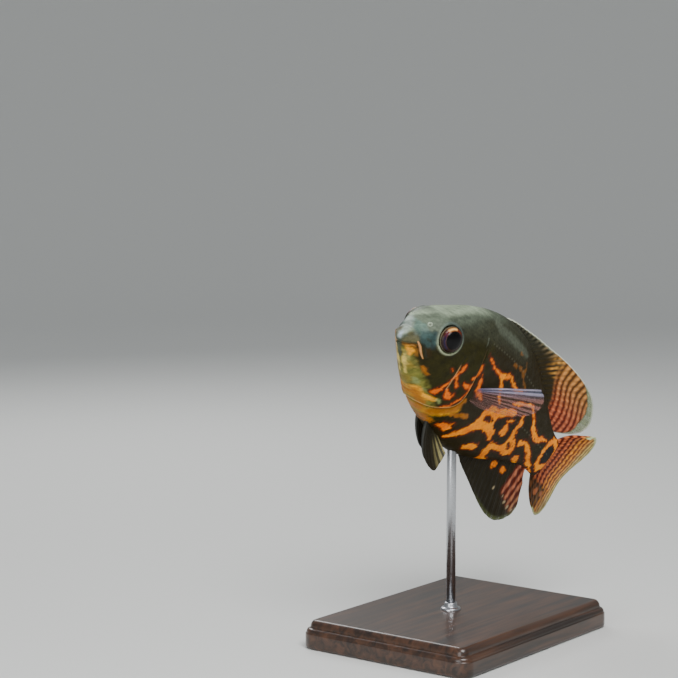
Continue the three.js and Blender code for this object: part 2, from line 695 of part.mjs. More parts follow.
// Pectoral fins: narrow fans from behind the gill covers, swept up and back and held off the flank.
const PECTORAL = { rays: 11, rows: 6, hold: { left: 1, right: 0.86 } };
const pectoralEdge = edgeCurve([
  [0.598, 0.160, 0.142], [0.636, 0.162, 0.128], [0.652, 0.163, 0.098], [0.640, 0.162, 0.062],
  [0.598, 0.158, 0.022], [0.540, 0.150, -0.010], [0.480, 0.140, -0.032],
]);
function pectoralFin(name) {
  const side = sides[name];
  const hold = PECTORAL.hold[name];
  return finSolid({
    rays: PECTORAL.rays,
    rows: PECTORAL.rows,
    base: (t) => new THREE.Vector3(mix(0.378, 0.386, t), side * 0.090, mix(-0.020, -0.056, t)),
    edge: (t) => {
      const tip = pectoralEdge.getPointAt(t);
      tip.y = side * mix(0.105, tip.y, hold);
      return tip;
    },
    bow: (t) => new THREE.Vector3(0, side * 0.020 * hold, 0.012 * (1 - 2 * t)),
    sway: still,
    notch: noNotch,
  });
}

// Pelvic fins: a spine and five rays each, from the chest, folded back along the belly.
const PELVIC = {
  rays: 6, rows: 6, splay: { left: 0.045, right: 0.020 }, fold: { left: 0, right: 0.35 },
};
const pelvicEdge = edgeCurve([
  [0.450, 0, -0.300], [0.509, 0, -0.312], [0.542, 0, -0.309], [0.544, 0, -0.281],
  [0.543, 0, -0.255], [0.540, 0, -0.235],
]);
function pelvicFin(name) {
  const side = sides[name];
  return finSolid({
    rays: PELVIC.rays,
    rows: PELVIC.rows,
    base: (t) => new THREE.Vector3(mix(0.362, 0.402, t), side * 0.026, mix(-0.190, -0.197, t)),
    edge: (t) => {
      const tip = pelvicEdge.getPointAt(t);
      tip.y = side * mix(PELVIC.splay[name], 0.032, t);
      tip.z += PELVIC.fold[name] * (-0.215 - tip.z);
      tip.x += PELVIC.fold[name] * 0.05;
      return tip;
    },
    bow: (t) => {
      const spread = (1 - t) * (1 - PELVIC.fold[name]);
      return new THREE.Vector3(-0.022, side * 0.006, -0.020).multiplyScalar(spread);
    },
    sway: still,
    notch: noNotch,
  });
}

const fins = {
  dorsal_fin: dorsalFin,
  anal_fin: analFin,
  caudal_fin: caudalFin,
  pectoral_fin_left: pectoralFin('left'),
  pectoral_fin_right: pectoralFin('right'),
  pelvic_fin_left: pelvicFin('left'),
  pelvic_fin_right: pelvicFin('right'),
};

// Stand: a routed base with a socket, and a rod up to the belly, cut to meet it.
const rodTop = bendPoint(new THREE.Vector3(share(ROD_SHARE), 0, share(bodySection(ROD_SHARE).bottom + 0.03)))
  .applyMatrix4(fishPose);

function rodCylinder(radius, low, high) {
  const cylinder = new THREE.CylinderGeometry(radius, radius, high - low, ROD_SIDES);
  cylinder.rotateX(Math.PI / 2);
  cylinder.translate(rodTop.x, rodTop.y, (low + high) / 2);
  return solidOf(cylinder);
}

// Rounded rectangle of the base, drawn in by an inset.
function baseRing([inset, height]) {
  const corner = BASE_CORNER - inset;
  const reach = { x: BASE_SIZE.x / 2 - BASE_CORNER, y: BASE_SIZE.y / 2 - BASE_CORNER };
  const corners = [[1, 1], [-1, 1], [-1, -1], [1, -1]];
  return corners.flatMap(([sideX, sideY], quarter) => upTo(BASE_CORNER_STEPS + 1).map((step) => {
    const turn = (quarter + step / BASE_CORNER_STEPS) * (Math.PI / 2);
    const x = sideX * reach.x + corner * Math.cos(turn);
    const y = sideY * reach.y + corner * Math.sin(turn);
    return new THREE.Vector3(x, y, height);
  }));
}

function baseSolid() {
  const foot = new THREE.Vector3(rodTop.x, rodTop.y, 0);
  const top = new THREE.Vector3(rodTop.x, rodTop.y, BASE_SIZE.z);
  const socket = rodCylinder(ROD_RADIUS + GAP, BASE_SIZE.z - ROD_SOCKET_DEPTH - GAP, BASE_SIZE.z + 1);
  return ringSolid(BASE_PROFILE.map(baseRing), foot, top).subtract(socket);
}

const posedBody = solidOf(bentGeometry(grownBody).applyMatrix4(fishPose));
const rod = rodCylinder(ROD_RADIUS, BASE_SIZE.z - ROD_SOCKET_DEPTH, rodTop.z).subtract(posedBody);

// The scene graph.
const skin = (color, roughness = 0.42) => new THREE.MeshStandardMaterial({ color, roughness, metalness: 0 });
const MATERIALS = {
  head: skin(0x56645a),
  lower_jaw: skin(0x6f7352),
  gill_cover: skin(0x4a4a34),
  eye: skin(0x14120f, 0.08),
  trunk: skin(0x3a3a2c),
  tail_stalk: skin(0x45392a),
  dorsal_fin: skin(0x6d5a40),
  anal_fin: skin(0x3c2f2a),
  caudal_fin: skin(0xa8703a),
  pectoral_fin: skin(0x9a8f96),
  pelvic_fin: skin(0x23211f),
};

function addMesh(group, name, geometry, material) {
  const mesh = new THREE.Mesh(geometry, material);
  mesh.name = name;
  group.add(mesh);
}

const fish = new THREE.Group();
fishPose.decompose(fish.position, fish.quaternion, fish.scale);
const materialFor = (name) => MATERIALS[name.replace(/_(left|right)$/, '')];
Object.entries(flesh).forEach(([name, solid]) => addMesh(fish, name, bentGeometry(solid), materialFor(name)));
sideNames.forEach((name) => addMesh(fish, `eye_${name}`, bentGeometry(eyeSolid(sides[name])), MATERIALS.eye));
Object.entries(fins).forEach(([name, solid]) => {
  addMesh(fish, name, bentGeometry(largest(solid.subtract(grownBody))), materialFor(name));
});

const stand = new THREE.Group();
addMesh(stand, 'stand_base', geometryOf(baseSolid()), skin(0x241a14, 0.35));
addMesh(stand, 'stand_rod', geometryOf(tidySolid(largest(rod))), new THREE.MeshStandardMaterial({
  color: 0xb9bcc0,
  roughness: 0.3,
  metalness: 1,
}));

const model = new THREE.Group();
model.add(fish, stand);

export default model;
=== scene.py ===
# A young oscar fish as a life-size display model: living skin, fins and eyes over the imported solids.
# Shape work is in millimetres in the straight fish's own frame, as the solids are. Points then go through the
# body's bend and its swimming pose, and become metres in the shared frame. Colours are sRGB, 0 to 255.
import math

import bpy
import numpy as np
from mathutils import Matrix, Vector


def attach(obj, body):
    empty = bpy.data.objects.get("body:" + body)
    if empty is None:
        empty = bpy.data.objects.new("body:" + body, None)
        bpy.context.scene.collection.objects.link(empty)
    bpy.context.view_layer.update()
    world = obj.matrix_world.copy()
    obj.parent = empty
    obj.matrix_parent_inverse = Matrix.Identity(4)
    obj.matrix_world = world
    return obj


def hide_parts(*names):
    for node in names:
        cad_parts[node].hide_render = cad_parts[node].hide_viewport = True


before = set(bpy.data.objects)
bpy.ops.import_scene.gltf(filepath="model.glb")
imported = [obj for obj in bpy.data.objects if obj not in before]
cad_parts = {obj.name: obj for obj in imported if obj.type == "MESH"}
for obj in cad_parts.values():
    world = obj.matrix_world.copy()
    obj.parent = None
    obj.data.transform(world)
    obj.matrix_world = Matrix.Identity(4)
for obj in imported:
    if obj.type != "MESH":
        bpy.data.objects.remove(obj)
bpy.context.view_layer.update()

MM = 0.001
LEFT, RIGHT = -1, 1
SIDES = {"left": LEFT, "right": RIGHT}

# Sizes that the solids share. A share is a share of the axis.
AXIS_LENGTH = 120.0
SNOUT = 0.025
NOSE_UP = math.radians(34.9)
BANK = math.radians(21.2)
CENTRE = Vector((4, -5, 106))
CENTRE_SHARE = 0.5
TURN_START = 0.28
TURN_ANGLE = math.radians(12)
FLICK_START = 0.72
FLICK_SPAN = 0.5
FLICK_ANGLE = math.radians(-31)
BEND_REACH = 1.4
BEND_STEPS = 560

# Place, back line, belly line, half width, height of the widest line, fullness above and below it.
BODY_STATIONS = np.array([
    [0.025, -0.040, -0.040, 0.000, -0.040, 2.0, 2.0],
    [0.032, -0.012, -0.062, 0.026, -0.040, 2.3, 1.8],
    [0.047, 0.032, -0.075, 0.048, -0.024, 2.7, 1.7],
    [0.072, 0.083, -0.090, 0.071, -0.008, 3.0, 1.7],
    [0.112, 0.121, -0.114, 0.086, 0.003, 3.0, 1.8],
    [0.160, 0.158, -0.140, 0.096, 0.005, 2.7, 1.95],
    [0.240, 0.208, -0.172, 0.108, 0.000, 2.35, 2.2],
    [0.320, 0.245, -0.196, 0.110, -0.010, 2.1, 2.3],
    [0.400, 0.266, -0.209, 0.103, -0.020, 2.0, 2.3],
    [0.500, 0.271, -0.223, 0.092, -0.020, 1.95, 2.1],
    [0.600, 0.255, -0.210, 0.077, -0.010, 1.9, 2.0],
    [0.700, 0.219, -0.171, 0.060, 0.000, 1.9, 1.9],
    [0.800, 0.168, -0.117, 0.043, 0.005, 1.9, 1.9],
    [0.880, 0.126, -0.083, 0.030, 0.005, 1.9, 1.9],
    [0.950, 0.098, -0.071, 0.021, 0.005, 2.0, 2.0],
    [1.000, 0.091, -0.072, 0.016, 0.005, 2.0, 2.0],
])
SWELLINGS = [
    {"at": (0.135, 0.048), "spread": (0.055, 0.050), "rise": 0.7},
    {"at": (0.200, 0.130), "spread": (0.060, 0.040), "rise": -0.6},
    {"at": (0.205, -0.050), "spread": (0.060, 0.060), "rise": 0.5},
]
GAPE_LINE = [
    (-0.040, -0.070), (0.030, -0.068), (0.043, -0.062), (0.053, -0.048),
    (0.064, -0.045), (0.080, -0.052), (0.100, -0.064), (0.116, -0.074),
]
GILL_LINE = [
    (0.302, 0.170), (0.316, 0.100), (0.330, 0.046), (0.344, 0.002), (0.355, -0.032),
    (0.362, -0.064), (0.359, -0.092), (0.344, -0.118), (0.318, -0.141), (0.284, -0.164), (0.246, -0.178),
]
EYE_AT = (0.135, 0.046)
EYE_RADIUS = 5.5
EYE_BULGE = 2.9
NOSTRIL_AT = (0.058, 0.040)
NOSTRIL_RADIUS = 0.85
BASE_SIZE = Vector((112, 84, 12))
BASE_CORNER = 6
ROD_RADIUS = 2
ROD_SHARE = 0.565

# Detail of the living skin: its grid, the scales' pitch and rise in millimetres, their radius in pitches, and
# a count added to their rows so that none is below 0.
SKIN_RINGS = 480
SKIN_SIDES = 420
RING_POWER = 0.75
SCALE_PITCH = 2.36
SCALE_RISE = 0.18
SCALE_RADIUS = 0.66
ROWS_BELOW = 40
FAR = 1e3


# Small maths helpers.

def mix(a, b, t):
    return a + (b - a) * t


def ease(low, high, value):
    t = np.clip((value - low) / (high - low), 0, 1)
    return t * t * (3 - 2 * t)


def bell(distance, width):
    return np.exp(-(distance / width) ** 2)


def ripples(x, y, wavelength, seed):
    """Smooth seeded noise of about -1 to 1: a few crossing waves."""
    draw = np.random.default_rng(seed)
    total = np.zeros(np.broadcast(x, y).shape)
    waves = 7
    for _ in range(waves):
        heading = draw.uniform(0, 2 * math.pi)
        length = wavelength * draw.uniform(0.7, 1.6)
        phase = draw.uniform(0, 2 * math.pi)
        total += np.sin(2 * math.pi * (x * math.cos(heading) + y * math.sin(heading)) / length + phase)
    return total / math.sqrt(waves * 2)


def rgb(red, green, blue):
    """Linear colour from an sRGB one."""
    value = np.array([red, green, blue]) / 255
    return np.where(value <= 0.04045, value / 12.92, ((value + 0.055) / 1.055) ** 2.4)


def paint(under, over, cover):
    return under + (over - under) * np.asarray(cover)[..., None]


# Shape of the straight fish.

def root_of(place):
    return np.sqrt(np.clip((place - SNOUT) / (1 - SNOUT), 0, 1))


def place_of(root):
    return SNOUT + (1 - SNOUT) * root ** 2


STATION_ROOTS = root_of(BODY_STATIONS[:, 0])


def station_slopes():
    run = np.diff(STATION_ROOTS)[:, None]
    rate = np.diff(BODY_STATIONS, axis=0) / run
    inner = (rate[:-1] * run[1:] + rate[1:] * run[:-1]) / (run[:-1] + run[1:])
    return np.concatenate([rate[:1], inner, rate[-1:]])


STATION_SLOPES = station_slopes()


def section(root):
    """Top, bottom, half width, middle, crown and keel of the body at each root."""
    root = np.asarray(root, float)
    i = np.clip(np.searchsorted(STATION_ROOTS[1:], root), 0, len(STATION_ROOTS) - 2)
    run = STATION_ROOTS[i + 1] - STATION_ROOTS[i]
    t = ((root - STATION_ROOTS[i]) / run)[..., None]
    run = run[..., None]
    values = mix(BODY_STATIONS[i], BODY_STATIONS[i + 1], t * t * (3 - 2 * t))
    values = values + STATION_SLOPES[i] * run * t * (1 - t) ** 2
    values = values - STATION_SLOPES[i + 1] * run * t * t * (1 - t)
    return [values[..., column] for column in range(1, 7)]


def plain_skin(root, angle):
    """Points of the plain skin in shares: angle 0 is the left side, a quarter turn the back."""
    top, bottom, half, middle, crown, keel = section(root)
    c = np.cos(angle)
    s = np.sin(angle)
    power = 2 / np.where(s >= 0, crown, keel)
    reach = np.where(s >= 0, top - middle, middle - bottom)
    side = -half * np.sign(c) * np.abs(c) ** power
    height = middle + reach * np.sign(s) * np.abs(s) ** power
    return np.stack(np.broadcast_arrays(place_of(root), side, height), -1)


def skin_normal(root, angle):
    step = 0.004
    along = plain_skin(np.minimum(root + step, 1), angle) - plain_skin(np.maximum(root - step, 0), angle)
    around = plain_skin(root, angle + step) - plain_skin(root, angle - step)
    normal = np.cross(along, around)
    normal /= np.linalg.norm(normal, axis=-1, keepdims=True) + 1e-12
    outward = np.stack(np.broadcast_arrays(0 * root, -np.cos(angle), np.sin(angle)), -1)
    normal *= np.where(np.sum(normal * outward, -1) < 0, -1, 1)[..., None]
    return np.where((root < 0.02)[..., None], np.array([-1.0, 0, 0]), normal)


def swelling(place, height):
    total = 0
    for form in SWELLINGS:
        reach = ((place - form["at"][0]) / form["spread"][0]) ** 2
        reach = reach + ((height - form["at"][1]) / form["spread"][1]) ** 2
        total = total + form["rise"] * np.exp(-reach)
    return total


def flank(place, height, side):
    """Point in millimetres and outward normal on the left or right side at a side-view place."""
    root = root_of(np.float64(place))
    top, bottom, _, middle, crown, keel = section(root)
    above = height >= middle
    reach = top - middle if above else middle - bottom
    level = min(abs(height - middle) / reach, 1)
    lift = math.asin(level ** ((crown if above else keel) / 2)) * (1 if above else -1)
    angle = lift if side < 0 else math.pi - lift
    point = plain_skin(root, np.float64(angle))
    normal = skin_normal(root, np.float64(angle))
    return point * AXIS_LENGTH + normal * swelling(point[0], point[2]), normal


# Bend and pose.

def bend_table():
    step = BEND_REACH / BEND_STEPS
    edges = np.arange(BEND_STEPS + 1) * step
    middles = edges[:-1] + step / 2

    def turn_at(place):
        turn = np.maximum((place - TURN_START) / (1 - TURN_START), 0)
        flick = np.maximum((place - FLICK_START) / FLICK_SPAN, 0)
        return TURN_ANGLE * turn + FLICK_ANGLE * flick ** 1.5

    x = np.concatenate([[0], np.cumsum(np.cos(turn_at(middles)) * step)])
    y = np.concatenate([[0], np.cumsum(-np.sin(turn_at(middles)) * step)])
    return edges, x, y, turn_at(edges)


BEND = bend_table()


def bend(points):
    """Millimetre points of the straight fish, moved onto its curved axis."""
    edges, x, y, turn = BEND
    place = points[..., 0] / AXIS_LENGTH
    side = points[..., 1]
    angle = np.interp(place, edges, turn)
    bent = points.copy()
    moved = place >= TURN_START
    bent_x = np.interp(place, edges, x) * AXIS_LENGTH + side * np.sin(angle)
    bent_y = np.interp(place, edges, y) * AXIS_LENGTH + side * np.cos(angle)
    bent[..., 0] = np.where(moved, bent_x, points[..., 0])
    bent[..., 1] = np.where(moved, bent_y, points[..., 1])
    return bent


def pose_matrix():
    axis_point = bend(np.array([CENTRE_SHARE * AXIS_LENGTH, 0.0, 0.0]))
    back = Matrix.Translation(-Vector(axis_point))
    turn = Matrix.Rotation(NOSE_UP, 4, "Y") @ Matrix.Rotation(BANK, 4, "X")
    return Matrix.Translation(CENTRE) @ turn @ back


POSE = np.array(pose_matrix())


def to_frame(points):
    """Straight-fish millimetres to metres in the shared frame."""
    bent = bend(np.asarray(points, float))
    return (bent @ POSE[:3, :3].T + POSE[:3, 3]) * MM


# Lines in the side view.

def hermite(p1, p2, v1, v2, t):
    """Cubic from p1 to p2 that leaves with v1 and arrives with v2."""
    return (2 * p1 - 2 * p2 + v1 + v2) * t ** 3 + (3 * p2 - 3 * p1 - 2 * v1 - v2) * t ** 2 + v1 * t + p1


def spline(places, steps=8):
    """Uniform Catmull-Rom line through side-view places, in millimetres."""
    points = np.array(places, float) * AXIS_LENGTH
    ends = np.concatenate([points[:1], points, points[-1:]])
    t = np.linspace(0, 1, steps, endpoint=False)[:, None]
    line = [
        hermite(p1, p2, (p2 - p0) / 2, (p3 - p1) / 2, t)
        for p0, p1, p2, p3 in zip(ends, ends[1:], ends[2:], ends[3:])
    ]
    return np.concatenate([*line, points[-1:]])


def line_field(x, h, line, radii=None):
    """Distance from a line, less its half width there, and which side a point lies on."""
    nearest = np.full(x.shape, FAR)
    side = np.zeros(x.shape)
    for i in range(len(line) - 1):
        (ax, ah), (bx, bh) = line[i], line[i + 1]
        run = (bx - ax, bh - ah)
        t = ((x - ax) * run[0] + (h - ah) * run[1]) / (run[0] ** 2 + run[1] ** 2 + 1e-12)
        t = np.clip(t, 0, 1)
        distance = np.hypot(x - ax - run[0] * t, h - ah - run[1] * t)
        if radii is not None:
            distance = distance - mix(radii[i], radii[i + 1], t)
        closer = distance < nearest
        nearest = np.where(closer, distance, nearest)
        cross = run[0] * (h - ah) - run[1] * (x - ax)
        side = np.where(closer, np.sign(cross), side)
    return nearest, side


# Marks of the left side: each stroke is a row of (back, up, half width) in millimetres.
ORANGE_STROKES = [
    [(31.6, 2.2, 0.9), (31.4, 0.8, 1.3), (30.4, -3.0, 0.5), (29.7, -7.5, 0.6), (29.5, -10.5, 0.9),
     (29.0, -14.2, 1.5)],
    [(31.5, -4.2, 0.6), (33.0, -5.4, 1.1), (35.0, -6.6, 0.8)],
    [(32.2, -10.2, 0.8), (34.6, -11.8, 1.6), (36.4, -11.8, 1.2), (37.0, -9.6, 0.7)],
    [(40.4, 7.0, 1.1), (41.3, 4.4, 1.4), (40.9, 2.0, 0.9), (39.6, 0.4, 0.7)],
    [(37.4, -3.6, 0.9), (39.4, -3.6, 1.3), (40.9, -3.0, 0.9), (41.9, -1.0, 0.5)],
    [(41.7, -1.2, 0.5), (42.0, -4.9, 0.5), (41.4, -9.5, 0.6), (39.8, -14.0, 0.6), (37.6, -16.6, 0.7)],
    [(44.4, 4.4, 0.5), (46.0, 1.4, 1.3), (47.8, -1.2, 1.8), (50.2, -2.0, 1.5), (54.0, -2.6, 0.8)],
    [(55.2, -23.6, 0.9), (57.0, -21.0, 1.6), (59.4, -17.8, 2.3), (61.5, -14.0, 2.4), (64.0, -10.8, 2.6),
     (67.5, -9.0, 2.6), (71.0, -8.8, 2.4), (74.6, -9.4, 2.3), (76.3, -10.8, 1.4)],
    [(62.2, -10.0, 2.0), (62.4, -5.4, 2.0), (65.0, -2.2, 2.6), (69.0, -3.0, 2.4), (70.6, -6.5, 2.0)],
    [(68.0, -2.6, 2.2), (72.4, 0.4, 2.2), (76.0, 2.8, 2.0), (79.6, 4.4, 1.6)],
    [(80.8, -5.0, 2.3), (80.7, -3.6, 2.3)],
    [(86.0, 5.4, 1.1), (87.0, 2.8, 1.5), (86.9, -0.4, 1.2), (88.2, -3.4, 1.8), (89.4, -7.6, 2.2),
     (88.6, -10.4, 1.7), (92.2, -10.4, 1.9), (94.6, -9.0, 1.5), (93.2, -6.0, 1.1), (90.6, -4.2, 1.2)],
    [(88.0, -10.6, 1.3), (85.2, -11.8, 1.4), (81.6, -12.8, 2.1), (82.2, -15.8, 2.4), (84.0, -18.8, 2.0),
     (88.5, -18.6, 1.2)],
    [(69.4, -21.0, 1.7), (73.4, -18.2, 2.0)],
    [(74.0, 6.6, 0.8), (79.5, 9.0, 1.0), (85.0, 11.6, 0.9), (88.4, 12.2, 0.8), (92.3, 9.6, 1.0),
     (95.4, 6.6, 1.3), (99.2, 4.1, 1.7), (103.0, 3.6, 1.6), (106.2, 5.4, 1.3), (109.4, 6.2, 0.8)],
    [(95.2, -3.0, 1.6), (97.8, -1.6, 1.4), (101.0, -1.6, 1.3), (104.0, -3.0, 1.5), (107.7, -5.4, 1.6),
     (111.6, -6.9, 1.2), (115.4, -8.2, 0.8)],
    [(100.9, -9.0, 1.9), (102.4, -9.8, 1.8)],
    [(41.2, 13.2, 0.3), (43.8, 12.0, 0.8), (47.7, 11.2, 0.9), (53.0, 10.8, 0.9), (56.9, 10.9, 1.4),
     (59.2, 11.8, 1.3), (60.8, 13.6, 1.2), (63.0, 13.5, 1.0), (66.9, 12.1, 1.1), (71.5, 11.3, 1.0),
     (75.6, 13.0, 0.6)],
    [(57.4, 10.0, 1.2), (60.0, 7.4, 1.0), (62.4, 4.6, 0.8), (65.4, 2.4, 0.9)],
    [(47.8, -21.4, 1.6), (50.6, -20.8, 2.2), (51.4, -18.2, 0.9)],
    [(26.9, -3.0, 0.35), (26.0, -2.6, 0.2)],
    [(79.0, 0.0, 0.9), (82.2, 1.6, 0.7)],
]
OCHRE_STROKES = [
    [(16.4, -10.0, 0.6), (18.2, -10.4, 1.0), (20.2, -10.6, 0.7)],
    [(60.6, 18.6, 0.9), (62.4, 18.9, 1.0)],
    [(64.8, 19.6, 0.8), (69.2, 19.3, 1.0), (72.3, 16.8, 0.7), (76.9, 14.7, 0.6)],
    [(45.2, -8.6, 1.2), (44.2, -12.4, 2.2), (41.0, -16.0, 1.9), (37.6, -20.4, 1.8)],
    [(46.0, -15.8, 0.9), (50.0, -13.6, 1.3), (54.0, -12.4, 1.1)],
    [(24.8, -18.4, 1.0), (31.0, -19.8, 1.3), (34.6, -22.2, 1.0)],
    [(39.0, -23.0, 1.0), (44.0, -23.4, 1.0)],
    [(61.6, 24.4, 0.3), (63.4, 24.9, 0.3)],
    [(68.2, 23.6, 0.4), (70.4, 20.4, 0.3)],
]
DARK_STROKES = [
    [(64.4, -6.4, 0.5), (69.4, -5.3, 0.6)],
    [(89.8, -7.2, 0.9), (90.6, -7.6, 0.8)],
    [(38.0, -6.4, 1.1), (35.2, -8.6, 1.1)],
    [(33.0, -1.6, 0.4), (32.2, 3.4, 0.3)],
]
# Painted highlight: a thin pale glint along the cheek's edge.
CHEEK_GLINT_STROKES = [
    [(31.8, -10.4, 0.12), (30.1, -5.4, 0.17), (29.1, -0.1, 0.14), (28.9, 1.0, 0.05)],
]
OCELLUS = {"at": (116.6, 2.4), "reach": (4.2, 6.9), "band": 1.5}
STROKE_BLEND = 2.4

# Skin colours.
GROUND = rgb(34, 27, 6)
OLIVE = rgb(37, 34, 6)
SLATE = rgb(52, 54, 41)
HEAD_MID = rgb(80, 88, 74)
# HEAD_PALE is partly the head's own pale grey and partly a painted highlight along its top line.
HEAD_PALE = rgb(138, 151, 127)
HEAD_FRONT = rgb(92, 102, 86)
TEAL = rgb(50, 70, 68)
TEAL_GREY = rgb(90, 112, 101)
TEAL_DARK = rgb(34, 46, 48)
BROWN_DARK = rgb(46, 34, 12)
LIP_OLIVE = rgb(80, 77, 50)
PALE_TIP = rgb(150, 160, 151)
# Painted highlight: the bluish-white light on the upper lip's most forward point.
TIP_HIGHLIGHT = rgb(176, 192, 208)
THROAT = rgb(136, 116, 42)
THROAT_GREEN = rgb(104, 106, 44)
THROAT_YELLOW = rgb(212, 186, 98)
PALE_GREEN = rgb(140, 150, 92)
GLINT = rgb(84, 90, 77)
CREAM = rgb(214, 176, 124)
ORANGE = rgb(226, 118, 0)
ORANGE_BRIGHT = rgb(248, 148, 4)
ORANGE_RED = rgb(212, 92, 10)
ORANGE_DEEP = rgb(116, 40, 6)
GOLD = rgb(200, 138, 16)
CHIN_GOLD = rgb(236, 158, 22)
RUST = rgb(66, 28, 8)
OCHRE = rgb(154, 92, 22)
# Painted shade for hollows: the groove behind the gill cover's free edge and the nostrils' holes.
HOLLOW_SHADE = rgb(34, 27, 14)
OCELLUS_DARK = rgb(22, 20, 16)
RING_PALE = rgb(160, 168, 136)
NOSTRIL_PALE = rgb(168, 180, 158)
PORE_PALE = rgb(120, 122, 104)
RING_BLUE = rgb(88, 106, 108)
EYE_EDGE = rgb(112, 106, 82)

# Patches of the face: colour, cover, softness and strokes of (back, out, up, half width), out from the middle
# plane on both sides or, where signed, to the right.
FACE_PATCHES = [
    (TEAL_GREY, 0.9, 1.6, False, [
        [(5.1, 1.5, 2.4, 1.0), (4.9, 3.0, 0.9, 1.1), (5.3, 4.8, 0.5, 1.2), (6.0, 5.8, 1.4, 1.2)],
        [(4.7, 2.2, 0.9, 0.9), (5.2, 3.5, 1.9, 1.0), (5.8, 4.6, 2.8, 0.9)],
    ]),
    # Pale over the top of the forehead: partly the head's own colour and partly a painted highlight from the
    # light above.
    (HEAD_PALE, 0.9, 1.8, True, [
        [(7.3, 6.8, 2.6, 0.8), (7.1, 4.8, 6.4, 0.9), (8.0, 0.4, 9.1, 0.9), (10.4, -2.6, 12.1, 0.4)],
    ]),
    (PALE_TIP, 0.85, 2.0, True, [
        [(3.3, 0.4, -3.3, 1.2), (4.0, 0.7, -0.9, 1.2), (4.7, 2.7, 0.7, 1.5), (5.9, 5.1, 2.3, 1.6),
         (7.3, 7.5, 1.7, 1.5)],
        [(3.1, 0.6, -5.5, 1.0), (3.5, 2.4, -4.1, 1.5), (5.4, 5.5, -2.3, 1.6)],
    ]),
    # Painted highlight on the front of the upper lip.
    (TIP_HIGHLIGHT, 0.75, 1.2, True, [[(3.2, 0.5, -4.9, 0.5), (3.2, 0.1, -5.8, 0.3)]]),
    (LIP_OLIVE, 0.9, 1.5, False, [
        [(4.0, 3.4, -3.4, 0.9), (4.9, 4.7, -4.2, 1.1), (5.6, 5.6, -3.4, 0.9)],
        [(4.0, 3.6, -5.3, 1.0), (3.8, 2.9, -6.4, 0.8)],
    ]),
    (TEAL, 0.9, 1.4, False, [
        [(6.5, 6.7, 0.1, 1.1), (7.2, 7.4, -1.1, 1.1), (8.0, 8.0, -2.0, 1.0), (9.6, 8.9, -2.0, 1.0)],
        [(7.2, 7.4, 0.6, 1.1), (9.4, 8.8, 1.4, 1.3), (11.0, 9.6, 0.6, 1.0)],
    ]),
    (rgb(64, 74, 58), 0.9, 1.0, False, [
        [(4.6, 0.2, -8.1, 0.9), (6.1, 0, -9.2, 1.1), (7.9, 0, -10.3, 1.1), (9.7, 0, -11.4, 0.8)],
    ]),
    # Painted shade: brown along the gape above the chin spot, under the upper lip.
    (rgb(124, 82, 24), 0.9, 1.0, False, [
        [(5.4, 2.4, -7.4, 0.5), (6.9, 5.2, -6.6, 0.8), (7.5, 6.3, -5.6, 0.6)],
        [(8.9, 6.4, -6.8, 0.9), (10.4, 6.4, -7.9, 0.7)],
    ]),
    (rgb(140, 134, 74), 0.85, 1.2, False, [[(9.4, 3.4, -9.8, 0.9), (11.0, 3.5, -10.9, 0.9)]]),
    (rgb(92, 92, 44), 0.75, 1.0, False, [
        [(11.4, 5.0, -10.0, 0.5), (12.8, 5.4, -10.8, 0.8), (14.4, 6.6, -11.0, 0.6)],
    ]),
    (THROAT_YELLOW, 0.9, 1.1, False, [
        [(9.8, 2.2, -10.8, 0.3), (11.0, 2.0, -11.8, 0.6), (12.7, 1.8, -12.9, 0.8),
         (14.5, 1.9, -14.2, 0.6), (16.6, 1.8, -15.3, 0.3)],
    ]),
    (CHIN_GOLD, 0.95, 1.1, False, [[(7.2, 3.8, -8.2, 0.7), (8.3, 5.0, -7.9, 1.0), (9.2, 4.6, -9.0, 0.7)]]),
    (CREAM, 0.85, 1.0, True, [
        [(5.7, 4.7, -5.9, 0.7), (5.3, 3.1, -7.4, 1.0), (6.9, 3.2, -8.5, 1.1), (9.5, 4.2, -9.5, 1.1),
         (11.5, 4.6, -10.5, 1.0), (13.2, 4.7, -11.5, 0.9), (15.0, 4.8, -12.6, 0.8),
         (16.8, 5.0, -13.6, 0.7), (21.0, 4.6, -16.4, 0.5)],
    ]),
]
